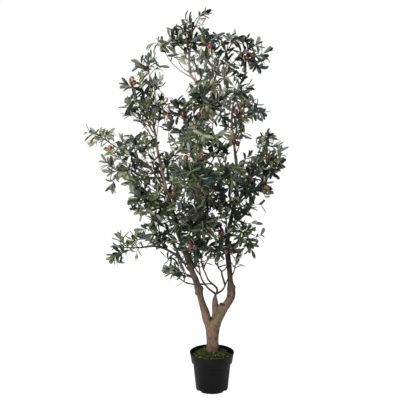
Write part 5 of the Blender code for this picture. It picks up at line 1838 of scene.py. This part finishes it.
@dataclass
class StubTwigs:
    """The thin bare twigs on the short stub between the two limbs, and on the limbs' low sides.

    The first few lines are the stout ones. Each of sprays is the number of a line that ends in leaves, and
    a factor on their length.
    """

    crown: Crown
    thick: float = 0.0054
    thin: float = 0.0024
    stout: int = 5
    slighter: float = 0.7
    pale: float = 0.35
    lines: tuple[tuple[Spot, ...], ...] = (
        ((0.018, 0.014, 0.464), (-0.018, 0.008, 0.494), (-0.043, 0.004, 0.528), (-0.054, 0.002, 0.556),
         (-0.059, 0.0, 0.585), (-0.063, 0.0, 0.614), (-0.066, -0.002, 0.64)),
        ((0.022, 0.014, 0.466), (0.023, 0.02, 0.49), (0.0, 0.024, 0.513), (-0.018, 0.026, 0.531),
         (-0.032, 0.026, 0.564), (-0.043, 0.024, 0.588), (-0.05, 0.022, 0.618), (-0.052, 0.02, 0.645)),
        ((-0.074, -0.012, 0.521), (-0.041, 0.0, 0.516), (-0.005, 0.012, 0.514), (0.017, 0.019, 0.497)),
        ((0.019, 0.014, 0.464), (0.048, 0.01, 0.484), (0.064, 0.004, 0.514), (0.074, 0.006, 0.541)),
        ((0.062, 0.005, 0.51), (0.048, 0.003, 0.556), (0.043, 0.002, 0.58), (0.031, 0.001, 0.593),
         (0.027, 0.0, 0.612), (0.027, 0.0, 0.645)),
        ((0.044, 0.002, 0.576), (0.061, -0.002, 0.59), (0.07, -0.006, 0.606)),
        ((0.03, 0.001, 0.598), (0.046, -0.006, 0.606), (0.063, -0.01, 0.612)),
        ((0.088, 0.014, 0.54), (0.104, 0.004, 0.58), (0.11, 0.0, 0.605), (0.113, -0.004, 0.625)),
        ((-0.085, -0.018, 0.52), (-0.118, -0.012, 0.525), (-0.14, -0.008, 0.536), (-0.158, -0.004, 0.548),
         (-0.172, 0.0, 0.56)),
        ((-0.1, -0.022, 0.562), (-0.131, -0.016, 0.573), (-0.154, -0.012, 0.58), (-0.17, -0.01, 0.592)),
        ((-0.056, 0.002, 0.56), (-0.074, 0.004, 0.584), (-0.086, 0.004, 0.608), (-0.095, 0.002, 0.632)),
        ((-0.042, 0.024, 0.586), (-0.029, 0.02, 0.614), (-0.017, 0.016, 0.636)),
    )
    sprays: tuple[tuple[int, float], ...] = (
        (0, 0.8), (1, 0.75), (4, 0.8), (7, 1.0), (8, 1.0), (9, 0.9), (10, 0.7), (11, 0.7))

    def build(self) -> list[Piece]:
        """Each twig as a tapering tube with small knuckles along a smooth line. Some end in a small spray.

        Returns:
            One piece.
        """
        surface = Surface()
        for number, points in enumerate(self.lines):
            line = smooth_line(np.array(points), 0.004)
            knuckle = 1 + 0.35 * smooth_step(lattice_noise(line, 0.012, 41), 0.3, 0.7)
            start = self.thick if number < self.stout else self.thick * self.slighter
            radii = np.linspace(start, self.thin, len(line)) * knuckle
            add_tubes(surface, line[None], radii[None], 8)
        rng = np.random.default_rng(31)
        for number, size in self.sprays:
            line = smooth_line(np.array(self.lines[number]), 0.006)
            self.crown.spray(line, self.pale, DEEP_SHARE, rng, size, True)
        bark = BarkFinish("twig_bark", tint(60, 49, 41), tint(70, 59, 49), tint(36, 30, 25))
        return [place(surface.piece("stub_twigs_wood", [bark.material()], 180), "bark", ["stub_twigs"])]


# The centre and the ripeness of each mass's olives.
OLIVES: dict[str, tuple[tuple[Spot, Ripeness], ...]] = {
    "crown_mid": (((-0.014, -0.118, 1.615), Ripeness.ROSE), ((-0.03, -0.115, 1.624), Ripeness.CRIMSON)),
    "right_top_tip": (((0.151, -0.06, 1.566), Ripeness.CRIMSON), ((0.169, -0.06, 1.539), Ripeness.PLUM),
        ((0.142, -0.03, 1.514), Ripeness.ROSE)),
    "left_shoulder": (((-0.36, -0.06, 1.474), Ripeness.BLUSH), ((-0.352, -0.045, 1.456), Ripeness.ROSE)),
    "inner_left": (((-0.208, -0.1, 1.381), Ripeness.BLUSH), ((-0.204, -0.1, 1.307), Ripeness.BLUSH),
        ((-0.186, -0.1, 1.303), Ripeness.PLUM), ((-0.131, -0.14, 1.322), Ripeness.CRIMSON)),
    "centre_high": (((-0.048, -0.15, 1.332), Ripeness.ROSE), ((-0.062, -0.15, 1.318), Ripeness.CRIMSON)),
    "right_spray": (((0.122, -0.06, 1.354), Ripeness.AMBER), ((0.106, -0.03, 1.326), Ripeness.ROSE)),
    "right_inner": (((0.099, -0.01, 1.189), Ripeness.CRIMSON), ((0.115, -0.02, 1.183), Ripeness.PLUM)),
    "centre_front": (((-0.049, -0.3, 1.143), Ripeness.CRIMSON), ((-0.062, -0.285, 1.128), Ripeness.PLUM),
        ((-0.116, -0.29, 1.143), Ripeness.AMBER)),
    "left_upper_outer": (((-0.464, -0.06, 1.166), Ripeness.ROSE),),
    "left_low": (((-0.174, -0.16, 0.974), Ripeness.ROSE),),
    "right_far": (((0.247, -0.1, 1.129), Ripeness.CRIMSON),),
    "right_far_low": (((0.231, -0.14, 0.978), Ripeness.CRIMSON), ((0.243, -0.13, 0.992), Ripeness.AMBER)),
    "centre_low_front": (((-0.113, -0.25, 0.874), Ripeness.PLUM), ((-0.101, -0.26, 0.757), Ripeness.ROSE),
        ((-0.079, -0.272, 0.755), Ripeness.CRIMSON)),
    "right_bottom_inner": (((0.041, -0.15, 0.792), Ripeness.CRIMSON), ((0.06, -0.16, 0.71), Ripeness.PLUM),
        ((0.082, -0.145, 0.706), Ripeness.AMBER)),
}


@dataclass
class Fruit:
    """The olives, each on a stalk of its own from the twig nearest to a point 30 mm above it."""

    crown: Crown
    length: float = 0.0255
    radius: float = 0.0102
    fullness: float = 0.08
    sides: int = 18

    def build(self) -> list[Piece]:
        """Turned eggs: at t the ring's radius is r sin(t)^0.9 (1 + 0.08 cos t), a little fuller at the top.

        Returns:
            One piece for each ripeness, and one for their stalks.
        """
        surfaces = {ripeness: Surface() for ripeness in Ripeness}
        stalks = Surface()
        rng = np.random.default_rng(77)
        t = np.linspace(math.pi - 0.10, 0.10, 13)
        radii = self.radius * np.sin(t) ** 0.9 * (1 + self.fullness * np.cos(t))
        olives = [(mass, *olive) for mass, hung in OLIVES.items() for olive in hung]
        for mass, spot, ripeness in olives:
            centre = np.array(spot)
            tracks = np.concatenate(self.crown.tracks[mass])
            start = tracks[np.argmin(np.linalg.norm(tracks - (centre + (0, 0, 0.03)), axis=1))]
            axis = unit(np.array([0, 0, 1.0]) * 0.9 + unit(start - centre) * 0.5 + rng.normal(0, 0.15, 3))
            line = centre + axis * (self.length / 2 * np.cos(t))[:, None]
            add_tubes(surfaces[ripeness], line[None], radii[None], self.sides)
            top = centre + axis * self.length * 0.46
            stalk = bent(start, top + axis * 0.012, top, 5)
            add_tubes(stalks, stalk[None], np.linspace(0.0013, 0.0011, len(stalk))[None], 5)
        pieces = []
        for ripeness, surface in surfaces.items():
            nodes = sorted({mass for mass, _, other in olives if other is ripeness})
            made = surface.piece(f"olives_{ripeness.name.lower()}", [SkinFinish(ripeness).material()], 180)
            pieces.append(place(made, "foliage", nodes))
        skin = BarkFinish("stalk_skin", tint(120, 122, 78), tint(128, 128, 84), tint(96, 94, 58), wear=1.3)
        made = stalks.piece("olive_stalks", [skin.material()], 180)
        pieces.append(place(made, "bark", sorted(OLIVES)))
        return pieces


# ---------------- studio
@dataclass(frozen=True)
class Light:
    """A soft square area light: where it hangs, what it faces, its side and its power in watts."""

    name: str
    spot: Spot
    aim: Spot
    size: float
    power: float


@dataclass
class Studio:
    """A pale floor, soft light from the upper left, and a camera a little above the crown's middle.

    The camera looks camera_down degrees below the level.
    """

    camera_at: Spot = EYE
    camera_down: float = 8.64
    lens: float = 66.56
    ambient: float = 0.36
    floor_size: float = 40.0
    floor_drop: float = 0.0004
    floor_glow: float = 0.86
    lights: tuple[Light, ...] = (
        Light("key", (-2.3, -2.7, 2.9), (0.0, 0.0, 0.9), 1.5, 254.0),
        Light("fill", (2.4, -2.8, 1.6), (0.0, 0.0, 0.9), 2.4, 22.0),
        Light("back", (0.6, 2.8, 2.8), (0.0, 0.0, 1.0), 2.0, 60.0))

    def floor(self) -> None:
        """A wide level floor with a fine mottle, just under the pot, that glows a little to the camera."""
        half = self.floor_size / 2
        surface = Surface()
        corners = np.array([(-half, -half, 0), (half, -half, 0), (half, half, 0), (-half, half, 0)])
        surface.add(corners - (0, 0, self.floor_drop), (np.array([[0, 1, 2, 3]]), 0))
        graph = Graph("floor")
        colour = graph.mix(graph.noise(3, 3), (0.86, 0.86, 0.86), (0.89, 0.89, 0.89))
        made = graph.finish(Base_Color=colour, Roughness=0.9)
        seen = graph.add("ShaderNodeLightPath", {}, {}, "Is Camera Ray") * self.floor_glow
        glow = graph.add("ShaderNodeEmission", {}, {"Color": (1.0, 1.0, 1.0), "Strength": 1.12})
        both = graph.add("ShaderNodeMixShader", {}, {0: seen, 2: glow})
        graph.tree.links.new(graph.shader.outputs[0], both.source.node.inputs[1])
        graph.tree.links.new(both.source, graph.tree.nodes["Material Output"].inputs["Surface"])
        surface.piece("floor", [made], 180)

    def light(self, light: Light) -> None:
        """Hangs a light and turns it to what it faces.

        Args:
            light: The light.
        """
        data = bpy.data.lights.new(light.name, "AREA")
        data.shape, data.size, data.energy = "SQUARE", light.size, light.power
        lamp = stand(light.name, data)
        lamp.location = light.spot
        toward = unit(np.array(light.spot) - np.array(light.aim))
        lamp.rotation_euler = (math.acos(toward[2]), 0.0, math.atan2(toward[0], -toward[1]))

    def surroundings(self) -> None:
        """Even light from all round, with pure white behind the tree in the picture."""
        world = bpy.data.worlds.new("studio")
        world.use_nodes = True
        nodes, links = world.node_tree.nodes, world.node_tree.links
        shade = nodes["Background"]
        shade.inputs["Color"].default_value = (1, 1, 1, 1)
        shade.inputs["Strength"].default_value = self.ambient
        seen = nodes.new("ShaderNodeBackground")
        seen.inputs["Color"].default_value = (1, 1, 1, 1)
        path, mix = nodes.new("ShaderNodeLightPath"), nodes.new("ShaderNodeMixShader")
        links.new(path.outputs["Is Camera Ray"], mix.inputs[0])
        links.new(shade.outputs[0], mix.inputs[1])
        links.new(seen.outputs[0], mix.inputs[2])
        links.new(mix.outputs[0], nodes["World Output"].inputs["Surface"])
        bpy.context.scene.world = world
        bpy.context.scene.view_settings.view_transform = "Standard"

    def camera(self) -> None:
        """The camera, level from side to side."""
        data = bpy.data.cameras.new("camera")
        data.lens = self.lens
        camera = stand("camera", data)
        camera.location = self.camera_at
        camera.rotation_euler = (math.radians(90 - self.camera_down), 0, 0)
        bpy.context.scene.camera = camera

    def build(self) -> None:
        """Makes the floor, the lights, the white surroundings and the camera."""
        self.floor()
        for light in self.lights:
            self.light(light)
        self.surroundings()
        self.camera()


def main() -> None:
    """Builds every sub-assembly in order, and the studio round them."""
    logging.basicConfig(level=logging.INFO, format="%(message)s")
    wood = Wood()
    crown = Crown(wood)
    assemblies = (NurseryPot(), CementPlug(), MossBed(), ThickWood(wood), Boughs(wood), StubTwigs(crown),
                  crown, Fruit(crown))
    for assembly in assemblies:
        pieces = assembly.build()
        log.info("%s: %s", type(assembly).__name__, ", ".join(piece.name for piece in pieces))
    Studio().build()
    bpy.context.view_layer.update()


if __name__ == "__main__":
    main()
